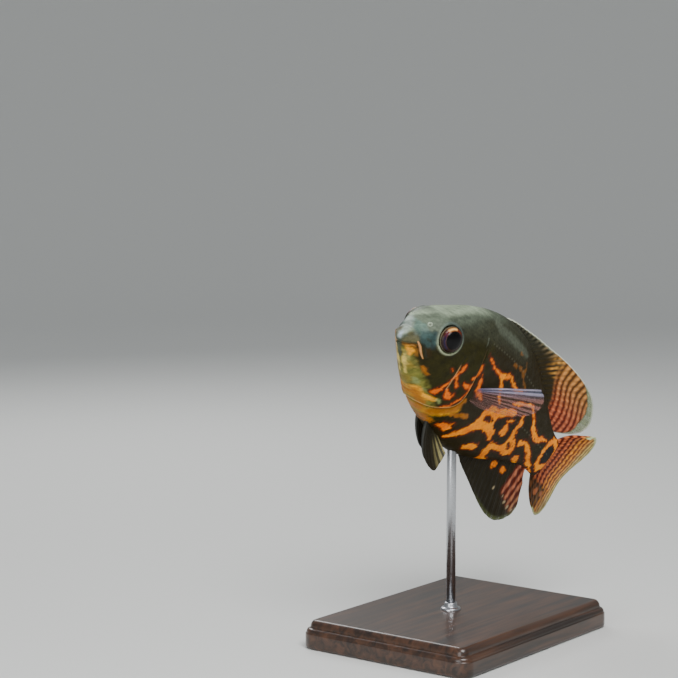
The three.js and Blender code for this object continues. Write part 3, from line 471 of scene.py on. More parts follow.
# Patches further back, under the orange marks: colour, cover, softness and strokes of (back, up, half width).
HEAD_PATCHES = [
    (HEAD_FRONT, 0.9, 2.4, [[(5.6, 3.4, 1.6), (8.0, 7.0, 2.4), (10.6, 9.6, 1.8)]]),
    (TEAL_DARK, 0.8, 1.4, [[(9.6, 3.0, 0.6), (11.0, 0.0, 1.2), (12.0, -2.0, 0.8)]]),
    (BROWN_DARK, 0.8, 1.0, [[(11.5, -3.6, 0.8), (13.5, -5.0, 0.9)]]),
    (THROAT_GREEN, 0.75, 1.8, [
        [(17.0, -12.8, 0.9), (21.2, -14.6, 1.2), (24.5, -15.2, 1.2), (28.0, -15.8, 0.7)],
    ]),
    (PALE_GREEN, 0.75, 1.0, [
        [(19.8, -15.0, 0.4), (21.4, -15.6, 0.6)],
        [(25.6, -16.0, 0.3), (26.4, -15.6, 0.3)],
    ]),
    (OLIVE, 0.6, 0.9, [[(23.4, -13.6, 0.4), (24.6, -14.4, 0.3)], [(26.0, -15.0, 0.4), (27.2, -15.0, 0.5)]]),
    (CHIN_GOLD, 0.85, 1.3, [[(24.0, -17.6, 0.8), (27.0, -18.4, 1.0)]]),
    (CHIN_GOLD, 0.8, 1.1, [[(28.6, -18.2, 0.6), (30.6, -17.2, 0.9), (32.4, -16.2, 0.5)]]),
    (PALE_GREEN, 0.6, 0.9, [[(33.4, -15.6, 0.5), (34.6, -15.6, 0.4)]]),
    (GOLD, 0.8, 1.5, [
        [(34.0, -22.8, 0.8), (37.6, -21.0, 1.1), (41.0, -18.2, 1.3), (44.0, -15.4, 1.1),
         (46.0, -12.8, 0.8)],
    ]),
    # Painted highlight: a pale bluish-grey glint band along the back under the dorsal fin.
    (GLINT, 0.6, 1.6, [
        [(38.0, 26.0, 1.0), (42.0, 25.2, 1.3), (50.0, 25.8, 1.3), (60.0, 26.2, 1.2), (66.0, 26.0, 0.8)],
    ]),
    (GLINT, 0.8, 0.4, [[(35.5, 17.8, 0.1), (36.2, 15.8, 0.2), (36.1, 14.0, 0.1)]]),
]
RIDGE_STROKE = [
    (6.7, -3.8, 0.1), (8.2, -4.6, 0.26), (9.7, -5.7, 0.26), (11.3, -6.6, 0.18), (13.2, -7.4, 0.02),
]
GROOVE_LINE = [(2.5, 1.2), (4.4, 0.3), (5.6, -1.6), (7.6, -2.8), (10.5, -4.2), (13.4, -6.2)]
CHEEK_LINE = [(28.8, 4.5), (29.1, 0.0), (30.1, -5.4), (31.8, -10.4), (34.4, -14.4)]


def stroke_distance(places, stroke):
    """Distance outside a stroke in millimetres, negative inside it, in two or three dimensions."""
    rows = np.array(stroke)
    line = rows[:, :-1]
    radii = rows[:, -1]
    margin = 7
    near = np.ones(places[0].shape, bool)
    for place, low, high in zip(places, line.min(axis=0), line.max(axis=0)):
        near &= (place > low - margin) & (place < high + margin)
    spots = np.stack([place[near] for place in places], -1)
    nearest = np.full(len(spots), FAR)
    for start, end, first, last in zip(line[:-1], line[1:], radii[:-1], radii[1:]):
        run = end - start
        t = np.clip((spots - start) @ run / (run @ run + 1e-12), 0, 1)
        gap = np.linalg.norm(spots - start - t[:, None] * run, axis=-1)
        nearest = np.minimum(nearest, gap - mix(first, last, t))
    distance = np.full(places[0].shape, FAR)
    distance[near] = nearest
    return distance


def stroke_field(x, h, strokes):
    """How deep inside the joined strokes a point lies, in millimetres, negative outside."""
    total = np.full(x.shape, 1e-9)
    for stroke in strokes:
        total += np.exp(-STROKE_BLEND * stroke_distance((x, h), stroke))
    return np.log(total) / STROKE_BLEND


def ground_colour(x, h, top):
    """Colour between the marks: dark olive, paler under the back and over the head, partly as the fish's own
    grey and partly as painted light from above, palest as a painted highlight along the top line; ochre on the
    throat.
    """
    below = top - h
    tone = np.broadcast_to(GROUND, x.shape + (3,)).copy()
    tone = paint(tone, OLIVE, ease(50, 38, x))
    tone = paint(tone, SLATE, ease(15, 8, below) * ease(78, 50, x) * 0.9)
    tone = paint(tone, HEAD_MID, ease(8.5, 2, below) * ease(36, 20, x))
    tone = paint(tone, HEAD_MID, ease(3.8, 1.4, below) * ease(50, 38, x) * 0.8)
    # Painted highlight: the palest strip along the head's top line, where the light from above falls.
    tone = paint(tone, HEAD_PALE, ease(2.0, 0.0, below) * ease(38, 28, x))
    low = h + 5.5 + 0.36 * x
    throat = ease(1.8, -1.6, low) * ease(44, 34, x) * ease(4, 8, x)
    green = np.clip(0.5 + 0.5 * ripples(x, h, 5, 11), 0, 1)
    base = paint(THROAT, THROAT_GREEN, green)
    tone = paint(tone, base, throat * 0.94)
    cloud = ease(0.1, 0.9, ripples(x, h, 2.6, 14)) * ease(30, 22, x)
    tone = paint(tone, THROAT_YELLOW * 0.8, throat * cloud * 0.5)
    return paint(tone, OLIVE, throat * ease(0.3, 1.0, ripples(x, h, 1.9, 15)) * 0.45)


def paint_patches(tone, x, side, h):
    """Soft patches of the face and head. The side distance is signed, to the right."""
    wander = 0.3 * ripples(x, h, 3.1, 12) + 0.14 * ripples(x, h, 1.2, 13)
    for over, cover, softness, strokes in HEAD_PATCHES:
        distance = np.min([stroke_distance((x, h), stroke) for stroke in strokes], axis=0)
        tone = paint(tone, over, cover * ease(softness, -0.4 * softness, distance + wander))
    for over, cover, softness, signed, strokes in FACE_PATCHES:
        out = side if signed else np.abs(side)
        distance = np.min([stroke_distance((x, out, h), stroke) for stroke in strokes], axis=0)
        tone = paint(tone, over, cover * ease(softness, -0.4 * softness, distance + wander))
    return tone


def skin_colour(x, side, h, top, jitter):
    """Skin colour. The right side, where side is above 0, carries a varied mirror of the marks."""
    away = ease(1.5, 7, side)
    mark_x = x + away * (1.6 * ripples(x, h, 34, 21) + 0.8)
    mark_h = h + away * (1.5 * ripples(x, h, 27, 22) - 0.4)
    rough = 0.28 * ripples(mark_x, mark_h, 3.4, 5) + 0.2 * ripples(mark_x, mark_h, 1.5, 6) + jitter - 0.15
    tone = paint_patches(ground_colour(x, h, top), x, side, h)
    speck = 0.6 * ripples(x, h, 2.6, 31) * ripples(x, h, 6.5, 32) + 0.4 * ripples(x, h, 1.3, 33)
    fine = 0.5 * ripples(x, h + side, 3.8, 34) + 0.3 * ripples(x, h + side, 1.5, 36)
    fine = fine + 0.2 * ripples(x, h, 0.8, 35)
    tone = tone * (1 + 0.22 * speck + 0.34 * fine * ease(50, 36, x))[..., None]

    inside = stroke_field(mark_x, mark_h, ORANGE_STROKES) + rough
    ring = np.hypot(
        (mark_x - OCELLUS["at"][0]) / OCELLUS["reach"][0], (mark_h - OCELLUS["at"][1]) / OCELLUS["reach"][1],
    )
    ring_inside = OCELLUS["band"] - np.abs(ring - 1) * np.mean(OCELLUS["reach"]) + rough
    inside = np.maximum(inside, ring_inside)
    dark = stroke_field(mark_x, mark_h, DARK_STROKES) + rough
    inside = np.minimum(inside, -dark)
    ochre = stroke_field(mark_x, mark_h, OCHRE_STROKES) + rough

    tone = paint(tone, RUST, ease(-1.4, -0.3, inside) * 0.8)
    tone = paint(tone, ORANGE_DEEP, ease(-0.45, 0.0, inside))
    vivid = 0.5 + 0.5 * ripples(x, h, 6, 8)
    flame = paint(paint(ORANGE, ORANGE_BRIGHT, vivid), ORANGE_RED, 0.8 * ease(58, 46, x))
    tone = paint(tone, flame, ease(-0.15, 0.6, inside))
    dim = ease(10, 20, h)
    tone = paint(tone, OCHRE, ease(-0.7, 0.6, ochre) * (0.85 - 0.45 * dim))
    # Painted highlight along the cheek's edge.
    cheek_glint = ease(-0.3, 0.15, stroke_field(x, h, CHEEK_GLINT_STROKES))
    tone = paint(tone, mix(CREAM, ORANGE, 0.3), cheek_glint * 0.6)
    return paint(tone, OCELLUS_DARK, ease(0.75, 0.45, ring))


# Meshes.

def grid_faces(rows, columns, wrap):
    """Quads over a grid of points, joined round its columns if it wraps."""
    row = np.arange(rows - 1)[:, None] * columns
    column = np.arange(columns if wrap else columns - 1)[None, :]
    beside = (column + 1) % columns
    after = row + columns
    quads = [row + column, row + beside, after + beside, after + column]
    return np.stack(quads, -1).reshape(-1, 4)


def shell(rings, first, last):
    """Points and quads of a closed form: rings joined to each other, and to a point at each end."""
    rows, sides = rings.shape[:2]
    count = rows * sides
    column = np.arange(sides)
    beside = (column + 1) % sides
    none = np.full(sides, -1)
    end = count - sides
    quads = np.concatenate([
        grid_faces(rows, sides, True),
        np.stack([np.full(sides, count), beside, column, none], -1),
        np.stack([np.full(sides, count + 1), end + column, end + beside, none], -1),
    ])
    return np.concatenate([rings.reshape(-1, 3), [first, last]]), quads


def mesh_piece(name, points, quads, tones=None, clear=None, flip=False):
    """Object from points in metres and quads, where a quad whose last corner is -1 is a triangle."""
    if flip:
        quads = quads[:, ::-1]
    sizes = np.where(quads[:, 3] < 0, 3, 4)
    corners = quads[quads >= 0].astype(np.int32)
    mesh = bpy.data.meshes.new(name)
    mesh.vertices.add(len(points))
    mesh.vertices.foreach_set("co", np.asarray(points, np.float32).ravel())
    mesh.loops.add(len(corners))
    mesh.loops.foreach_set("vertex_index", corners)
    mesh.polygons.add(len(quads))
    starts = np.concatenate([[0], np.cumsum(sizes)[:-1]]).astype(np.int32)
    mesh.polygons.foreach_set("loop_start", starts)
    mesh.polygons.foreach_set("use_smooth", np.full(len(quads), True))
    mesh.update(calc_edges=True)
    mesh.validate()
    if tones is not None:
        layer = mesh.attributes.new("tone", "FLOAT_COLOR", "POINT")
        shown = np.ones((len(points), 4), np.float32)
        shown[:, :3] = np.clip(tones, 0, 1)
        layer.data.foreach_set("color", shown.ravel())
    if clear is not None:
        layer = mesh.attributes.new("solidity", "FLOAT", "POINT")
        layer.data.foreach_set("value", np.asarray(clear, np.float32).ravel())
    piece = bpy.data.objects.new(name, mesh)
    bpy.context.scene.collection.objects.link(piece)
    return piece


# Materials.

def set_inputs(tree, node, **inputs):
    """Set or link a node's inputs. A blank in a socket's name is written as an underscore."""
    for name, value in inputs.items():
        socket = node.inputs[name.replace("_", " ")]
        if isinstance(value, bpy.types.NodeSocket):
            tree.links.new(value, socket)
        else:
            socket.default_value = value


def add_node(tree, kind, output, **inputs):
    node = tree.nodes.new("ShaderNode" + kind)
    set_inputs(tree, node, **inputs)
    return node.outputs[output]


def new_material(name, **inputs):
    material = bpy.data.materials.new(name)
    material.use_nodes = True
    shader = material.node_tree.nodes["Principled BSDF"]
    set_inputs(material.node_tree, shader, **inputs)
    return material, material.node_tree, shader


def noise_node(tree, scale, detail=4, roughness=0.6):
    place = add_node(tree, "TexCoord", "Object")
    return add_node(tree, "TexNoise", "Fac", Vector=place, Scale=scale, Detail=detail, Roughness=roughness)


def remap(tree, noise, low, high):
    """The middle of a noise's range, stretched from low to high."""
    span = {"From_Min": 0.3, "From_Max": 0.7, "To_Min": low, "To_Max": high}
    return add_node(tree, "MapRange", "Result", Value=noise, **span)


def bump_node(tree, height, strength, distance):
    return add_node(tree, "Bump", "Normal", Height=height, Strength=strength, Distance=distance)


def painted(tree, name, output):
    """What the mesh's points carry under a name."""
    node = tree.nodes.new("ShaderNodeAttribute")
    node.attribute_name = name
    return node.outputs[output]


def tinted(tree, base, factor):
    """A colour times a grey factor."""
    node = tree.nodes.new("ShaderNodeVectorMath")
    node.operation = "SCALE"
    tree.links.new(base, node.inputs[0])
    tree.links.new(factor, node.inputs["Scale"])
    return node.outputs["Vector"]


def tone_material(name, grain, roughness, bump, solid=True):
    """Living skin or fin: the painted tone, fine mottling, wet gloss and a pebbled surface."""
    material, tree, shader = new_material(name, Specular_IOR_Level=0.14)
    mottle = remap(tree, noise_node(tree, grain), 0.86, 1.14)
    set_inputs(
        tree, shader,
        Base_Color=tinted(tree, painted(tree, "tone", "Color"), mottle),
        Roughness=remap(tree, noise_node(tree, grain * 0.35, 3), roughness * 0.8, roughness * 1.25),
        Normal=bump_node(tree, noise_node(tree, grain * 2.2, 3), 0.5, bump),
    )
    if not solid:
        set_inputs(tree, shader, Alpha=painted(tree, "solidity", "Fac"))
    return material


SKIN_MATERIAL = tone_material("oscar_skin", 900, 0.5, 0.00005)
FIN_MATERIAL = tone_material("oscar_fin", 700, 0.48, 0.00004, solid=False)


def finish_piece(piece, material, slot, *nodes):
    piece.data.materials.append(material)
    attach(piece, "root")
    if nodes:
        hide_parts(*nodes)
    return piece


# Skin.

def scale_relief(across, arc):
    """Rise, 0 to 1, and shade of overlapping scales, at distances along and round the body."""
    best = np.full(across.shape, FAR)
    rise = np.zeros(across.shape)
    shade = np.zeros(across.shape)
    for row_step in (-1, 0, 1, 2):
        row = np.floor(arc * 2) + row_step
        shift = 0.5 * (row % 2)
        for column_step in (-1, 0, 1):
            column = np.floor(across - shift) + column_step
            centre = column + shift
            reach = np.hypot(across - centre, arc - row / 2)
            over = (reach < SCALE_RADIUS) & (centre < best)
            best = np.where(over, centre, best)
            rise = np.where(over, (across - centre + SCALE_RADIUS) / (2 * SCALE_RADIUS), rise)
            draw = np.sin(column * 12.9898 + row * 78.233) * 43758.5453
            shade = np.where(over, draw - np.floor(draw), shade)
    return rise, shade


def skin_grid():
    """Roots and angles of the skin's grid points, rings closer together at the head."""
    root = (np.arange(1, SKIN_RINGS + 1) / SKIN_RINGS)[:, None] ** RING_POWER
    angle = (np.arange(SKIN_SIDES) / SKIN_SIDES * 2 * math.pi)[None, :]
    return np.broadcast_arrays(root, angle)


def eye_frame(side):
    """Middle of an eye, its outward normal, the room's up in the eye's plane and the way to the snout."""
    centre, normal = flank(*EYE_AT, side)
    up = POSE[:3, :3].T @ np.array([0.0, 0.0, 1.0])
    up -= normal * (up @ normal)
    up /= np.linalg.norm(up)
    return centre, normal, up, np.cross(normal, up) * -side


def mouth_relief(x, h, rise, tone):
    """Thick upper lip between the groove and the gape, thin lower lip, and the pale ridge over the corner,
    with painted shade in the gape and in the groove.
    """
    gape, gape_side = line_field(x, h, spline(GAPE_LINE))
    gape_end = GAPE_LINE[-1][0] * AXIS_LENGTH
    within = ease(gape_end + 1.6, gape_end - 0.4, x)
    upper = gape_side > 0
    fading = ease(gape_end, 4, x)
    rise = rise + 0.4 * bell(gape - 1.3, 1.1) * upper * within * mix(0.6, 1, fading)
    rise = rise + 0.3 * bell(gape - 0.75, 0.5) * ~upper * within
    rise = rise - 0.26 * bell(gape, 0.3) * within
    # Painted shade along the gape, under the upper lip.
    tone = paint(tone, BROWN_DARK, bell(gape, 0.3) * within * 0.35)

    groove, _ = line_field(x, h, np.array(GROOVE_LINE))
    rise = rise - 0.34 * bell(groove, 0.5) + 0.14 * bell(groove - 1.3, 0.8)
    # Painted shade in the groove behind the upper lip.
    tone = paint(tone, TEAL_DARK, bell(groove, 0.42) * 0.35)
    ridge = stroke_distance((x, h), RIDGE_STROKE)
    rise = rise + 0.36 * ease(0.5, -0.3, ridge)
    tone = paint(tone, mix(CREAM, ORANGE, 0.4), ease(0.35, -0.1, ridge) * 0.8)
    return rise, tone


def gill_relief(x, h, rise, tone):
    """Cheek's edge, the gill cover's free margin with its pale edge and painted shade in the groove behind it,
    and the folds of skin below it.
    """
    cheek_edge, _ = line_field(x, h, np.array(CHEEK_LINE))
    rise = rise - 0.22 * bell(cheek_edge, 0.5) + 0.12 * bell(cheek_edge - 1.4, 1.0)

    gill, gill_side = line_field(x, h, spline(GILL_LINE))
    behind = gill * np.where(gill_side > 0, 1, -1)
    open_part = ease(15, 10.5, h)
    rise = rise + 0.6 * ease(-6.5, -0.35, behind) * ease(0.25, -0.3, behind) * open_part
    rise = rise - 0.45 * bell(behind - 0.5, 0.45) * open_part
    # Painted shade in the groove behind the gill cover's free edge.
    tone = paint(tone, HOLLOW_SHADE, bell(behind - 0.4, 0.36) * open_part * 0.8)
    pale_edge = bell(behind + 0.35, 0.3) * mix(0.12, 0.75, ease(5, 1, h))
    tone = paint(tone, mix(CREAM, GOLD, 0.5), pale_edge * open_part)

    under = ease(-11, -15, h) * ease(44, 36, x) * ease(16, 22, x)
    for fold_step in range(3):
        rise = rise - 0.16 * bell(behind + 2.6 + 1.9 * fold_step, 0.35) * under
    return rise, tone


def eye_relief(points, side, rise, tone):
    """Sunk bed of each eye with a pale rim, brightest low and in front and bluish at the top."""
    for eye_side in SIDES.values():
        centre, normal, up, ahead = eye_frame(eye_side)
        offset = points - centre
        along = offset @ normal
        reach = np.linalg.norm(offset - along[..., None] * normal, axis=-1)
        lift = (offset @ up) / (reach + 1e-6)
        forward = (offset @ ahead) / (reach + 1e-6)
        distance = np.where(side == eye_side, reach + 3 * np.abs(np.minimum(along + 4, 0)), FAR)
        rise = rise + 0.85 * bell(distance - (EYE_RADIUS + 0.75), 0.75)
        rise = rise - 2.6 * ease(EYE_RADIUS + 0.12, EYE_RADIUS - 0.25, distance)
        low = np.clip(0.5 - 0.55 * lift + 0.3 * forward, 0, 1)
        rim = paint(RING_BLUE, RING_PALE, low)
        tone = paint(tone, rim, bell(distance - (EYE_RADIUS + 0.6), 0.55) * mix(0.35, 0.9, low))
        tone = paint(tone, EYE_EDGE, ease(EYE_RADIUS + 0.02, EYE_RADIUS - 0.3, distance))
    return rise, tone


def nostril_relief(points, rise, tone):
    """One nostril on each side: a small hole in a pale raised ring, with a dent in front of it; the hole and
    the dent carry painted shade.
    """
    for side in SIDES.values():
        centre = flank(*NOSTRIL_AT, side)[0]
        distance = np.linalg.norm(points - centre, axis=-1)
        ahead = np.linalg.norm(points - centre - np.array([-1.5, -1.4 * side, 1.2]), axis=-1)
        rise = rise + 0.42 * bell(distance - NOSTRIL_RADIUS, 0.32) - 0.7 * bell(distance, 0.4)
        rise = rise - 0.1 * bell(ahead, 0.7)
        # Painted shade in the dent in front of the nostril.
        tone = paint(tone, TEAL_DARK, bell(ahead, 0.8) * 0.6)
        ring = ease(NOSTRIL_RADIUS + 0.45, NOSTRIL_RADIUS - 0.1, distance)
        tone = paint(tone, NOSTRIL_PALE, ring * 0.8)
        # Painted shade in the nostril's hole.
        tone = paint(tone, HOLLOW_SHADE, bell(distance, 0.34))
    return rise, tone


def skin_relief(plain, root, jitter):
    """Rise of the living skin over the plain one in millimetres, and the tone that goes with it."""
    x = plain[..., 0] * AXIS_LENGTH
    h = plain[..., 2] * AXIS_LENGTH
    side = np.where(plain[..., 1] < 0, LEFT, RIGHT)
    top = section(root)[0] * AXIS_LENGTH
    tone = skin_colour(x, plain[..., 1] * AXIS_LENGTH, h, top, jitter)
    rise = swelling(plain[..., 0], plain[..., 2])
    rise, tone = mouth_relief(x, h, rise, tone)
    rise, tone = gill_relief(x, h, rise, tone)
    rise, tone = eye_relief(plain * AXIS_LENGTH, side, rise, tone)
    return nostril_relief(plain * AXIS_LENGTH, rise, tone)


def lateral_line(x, h):
    """Two rows of pores: the upper one arched under the back, the lower one along the tail."""
    upper = 17.5 + 2.2 * np.sin((x - 38) / 52 * math.pi)
    on_upper = bell(h - upper, 0.34) * ease(37, 41, x) * ease(92, 86, x)
    lower = 2.4 + 0 * x
    on_lower = bell(h - lower, 0.34) * ease(76, 80, x) * ease(119, 114, x)
    beads = 0.5 + 0.5 * np.cos(x / SCALE_PITCH * 2 * math.pi)
    return (on_upper + on_lower) * ease(0.35, 0.8, beads)


def scale_field(points, angle):
    """Relief and shade of the scales, laid in rows from the middle of each side up and down."""
    x = points[..., 0]
    h = points[..., 2]
    step = np.linalg.norm(np.diff(points, axis=1, append=points[:, :1]), axis=-1)
    arc = np.cumsum(step, axis=1) - step
    girth = step.sum(axis=1, keepdims=True)
    arc = np.where(angle < math.pi / 2, arc, np.where(angle < 1.5 * math.pi, girth / 2 - arc, arc - girth))
    depth = np.ptp(h, axis=1)[:, None]
    pitch = SCALE_PITCH * np.sqrt(np.clip(depth / depth.max(), 0.25, 1))
    length = np.cumsum(np.diff(x[:, :1], axis=0, prepend=x[:1, :1]) / pitch, axis=0)
    return scale_relief(np.broadcast_to(length, x.shape), arc / pitch + ROWS_BELOW)


def build_skin():
    root, angle = skin_grid()
    plain = plain_skin(root, angle)
    normal = skin_normal(root, angle)
    points = plain * AXIS_LENGTH
    x = points[..., 0]
    h = points[..., 2]
    relief, shade = scale_field(points, angle)
    gill_edge = 42 - 0.012 * (h + 6) ** 2
    body = ease(gill_edge - 1, gill_edge + 3, x)
    nape = ease(14, 22, h) * ease(24, 32, x)
    cheek = ease(20, 25, x) * ease(12, 4, h) * ease(-19, -14, h) * 0.35
    scaly = np.maximum(np.maximum(body, nape * 0.7), cheek)
    rise, tone = skin_relief(plain, root, 0.9 * (shade - 0.5) * scaly)
    rise = rise + SCALE_RISE * (relief - 0.5) * scaly
    # Painted shade and highlight: each scale darker where it lies low behind the free edge of the scale in
    # front, lighter up to its own raised edge; the per-scale shade is random tone.
    tone = tone * (1 + scaly * (0.20 * (shade - 0.5) + 0.6 * (relief - 0.5)))[..., None]
    pores = lateral_line(x, h)
    rise = rise + 0.09 * pores
    tone = paint(tone, PORE_PALE, pores * 0.28)

    points = points + normal * rise[..., None]
    tip = (SNOUT * AXIS_LENGTH - float(rise[0].mean()), 0, BODY_STATIONS[0, 1] * AXIS_LENGTH)
    points, quads = shell(points, tip, points[-1].mean(axis=0))
    tones = np.concatenate([tone.reshape(-1, 3), [tone[0].mean(axis=0), tone[-1].mean(axis=0)]])
    piece = mesh_piece("skin", to_frame(points), quads, tones)
    flesh = ["head", "lower_jaw", "gill_cover_left", "gill_cover_right", "trunk", "tail_stalk"]
    return finish_piece(piece, SKIN_MATERIAL, "trunk_skin", *flesh)


# Fins. Half thickness in millimetres of the rays and of the web between them, at the root and at the rim.
FIN_HALF = {"rayRoot": 0.95, "rayRim": 0.34, "webRoot": 0.6, "webRim": 0.27}


def edge_curve(places):
    """Centripetal Catmull-Rom line through (back, side, up) shares, by the part of its length."""
    points = np.array(places, float)
    ends = np.concatenate([[2 * points[0] - points[1]], points, [2 * points[-1] - points[-2]]])
    t = np.linspace(0, 1, 24, endpoint=False)[:, None]
    dense = []
    for p0, p1, p2, p3 in zip(ends, ends[1:], ends[2:], ends[3:]):
        k0, k1, k2 = [math.sqrt(math.dist(a, b)) or 1.0 for a, b in ((p0, p1), (p1, p2), (p2, p3))]
        v1 = ((p1 - p0) / k0 - (p2 - p0) / (k0 + k1) + (p2 - p1) / k1) * k1
        v2 = ((p2 - p1) / k1 - (p3 - p1) / (k1 + k2) + (p3 - p2) / k2) * k1
        dense.append(hermite(p1, p2, v1, v2, t))
    line = np.concatenate([*dense, points[-1:]])
    length = np.concatenate([[0], np.cumsum(np.linalg.norm(np.diff(line, axis=0), axis=1))])
    length /= length[-1]
    return lambda t: np.stack([np.interp(t, length, line[:, axis]) for axis in range(3)], -1)


def vector(x, y, z):
    return np.stack(np.broadcast_arrays(x, y, z), -1)


def top_of(place):
    return section(root_of(place))[0]


def bottom_of(place):
    return section(root_of(place))[1]


# Each fin: rays, points along one ray, columns between two rays, and the lines of its root and rim.
FIN_SINK = 0.022
FIN_DEFAULTS = {"spines": 0, "sway": lambda t, s: vector(0 * t, 0, 0), "notch": lambda t: 0 * t}
dorsal_edge = edge_curve([
    (0.353, 0, 0.247), (0.387, 0, 0.262), (0.437, 0, 0.280), (0.518, 0, 0.293), (0.606, 0, 0.305),
    (0.700, 0, 0.312), (0.800, 0, 0.316), (0.870, 0, 0.313), (0.950, 0, 0.302), (1.013, 0, 0.283),
    (1.060, 0, 0.253), (1.086, 0, 0.222), (1.085, 0, 0.190), (1.050, 0, 0.153), (0.976, 0, 0.112),
    (0.914, 0, 0.087),
])
anal_edge = edge_curve([
    (0.629, 0, -0.205), (0.660, 0, -0.222), (0.719, 0, -0.243), (0.792, 0, -0.266), (0.872, 0, -0.286),
    (0.935, 0, -0.294), (0.990, 0, -0.286), (1.030, 0, -0.258), (1.050, 0, -0.222), (1.045, 0, -0.188),
    (1.015, 0, -0.156), (0.980, 0, -0.115),
])
caudal_edge = edge_curve([
    (1.120, 0, -0.158), (1.190, 0, -0.163), (1.232, 0, -0.140), (1.246, 0, -0.105), (1.242, 0, -0.067),
    (1.230, 0, -0.030), (1.224, 0, 0.006), (1.230, 0, 0.045), (1.243, 0, 0.084), (1.256, 0, 0.123),
    (1.255, 0, 0.160), (1.226, 0, 0.193), (1.158, 0, 0.203), (1.098, 0, 0.173),
])
pectoral_edge = edge_curve([
    (0.598, 0.160, 0.142), (0.636, 0.162, 0.128), (0.652, 0.163, 0.098), (0.640, 0.162, 0.062),
    (0.598, 0.158, 0.022), (0.540, 0.150, -0.010), (0.480, 0.140, -0.032),
])
pelvic_edge = edge_curve([
    (0.450, 0, -0.300), (0.509, 0, -0.312), (0.542, 0, -0.309), (0.544, 0, -0.281),
    (0.543, 0, -0.255), (0.540, 0, -0.235),
])


def dorsal_sheet():
    def base(t):
        place = mix(0.361, 0.905, t)
        return vector(place, 0, top_of(place) - FIN_SINK)
    return {
        "rays": 31, "spines": 13, "rows": 60, "fill": 10,
        "base": base,
        "edge": lambda t: dorsal_edge(t * (0.72 + 0.28 * t * t)),
        "bow": lambda t: vector(-0.012 * t, 0, 0.012 * t),
        "sway": lambda t, s: vector(0, (0.012 * np.sin(t * 2 * math.pi) + 0.014 * t ** 6) * s * s, 0),
        "notch": lambda t: 0.07 * np.sqrt(np.maximum(1 - t / 0.48, 0)),
    }


def anal_sheet():
    def base(t):
        place = mix(0.637, 0.925, t)
        return vector(place, 0, bottom_of(place) + FIN_SINK)
    return {
        "rays": 17, "spines": 3, "rows": 60, "fill": 12,
        "base": base,
        "edge": lambda t: anal_edge(t * (0.78 + 0.22 * t * t)),
        "bow": lambda t: vector(-0.012 * t, 0, -0.012 * t),
        "sway": lambda t, s: vector(0, -0.010 * np.sin(t * 2 * math.pi) * s * s, 0),
        "notch": lambda t: 0.05 * np.maximum(1 - t * 5, 0),
    }


def caudal_sway(t, s):
    level = 2 * t - 1
    return vector(0, (0.018 - 0.015 * level - 0.045 * level ** 2) * s * s, 0)


def caudal_sheet():
    return {
        "rays": 16, "rows": 76, "fill": 16,
        "base": lambda t: vector(0.99, 0, mix(-0.068, 0.087, t)),
        "edge": caudal_edge,
        "bow": lambda t: vector(0, 0, 0.028 * (2 * t - 1)),
        "sway": caudal_sway,
    }


def pectoral_sheet(side):
    hold = 1 if side == LEFT else 0.86

    def edge(t):
        tip = pectoral_edge(t)
        return vector(tip[..., 0], side * mix(0.105, tip[..., 1], hold), tip[..., 2])
    return {
        "rays": 11, "rows": 60, "fill": 14,
        "base": lambda t: vector(mix(0.378, 0.386, t), side * 0.090, mix(-0.020, -0.056, t)),
        "edge": edge,
        "bow": lambda t: vector(0, side * 0.020 * hold, 0.012 * (1 - 2 * t)),
    }


def pelvic_sheet(side):
    splay, fold = (0.045, 0) if side == LEFT else (0.020, 0.35)

    def edge(t):
        tip = pelvic_edge(t)
        height = tip[..., 2] + fold * (-0.215 - tip[..., 2])
        return vector(tip[..., 0] + fold * 0.05, side * mix(splay, 0.032, t), height)
    return {
        "rays": 6, "spines": 1, "rows": 56, "fill": 16,
        "base": lambda t: vector(mix(0.362, 0.402, t), side * 0.026, mix(-0.190, -0.197, t)),
        "edge": edge,
        "bow": lambda t: vector(-0.022, side * 0.006, -0.020) * ((1 - t) * (1 - fold))[..., None],
    }


def sheet_points(fin, t, s):
    """A fin's middle sheet in millimetres: t runs from the first ray to the last, s from root to rim."""
    root = fin["base"](t)
    tip = fin["edge"](t)
    control = (root + tip) / 2 + fin["bow"](t)
    s = s[..., None]
    point = root * (1 - s) ** 2 + control * 2 * s * (1 - s) + tip * s * s
    return (point + fin["sway"](t, s[..., 0])) * AXIS_LENGTH


def ray_ridge(fin, ray, s):
    """Height of the rays' ridges, 0 to 1, at a place counted in rays. A soft ray forks twice."""
    nearest = np.round(ray)
    soft = np.where(nearest >= fin["spines"], 1.0, 0.0)
    first = 0.125 * ease(0.30, 0.62, s) * soft
    second = 0.062 * ease(0.62, 0.92, s) * soft
    width = mix(0.17, 0.075, s) * mix(0.8, 1, soft)
    arms = [first + second, first - second, -first + second, -first - second]
    ridge = np.max([bell(ray - nearest - arm, width) for arm in arms], axis=0)
    joints = 1 - 0.12 * soft * (0.5 + 0.5 * np.cos(s * 150)) * ease(0.35, 0.6, s)
    return ridge * joints


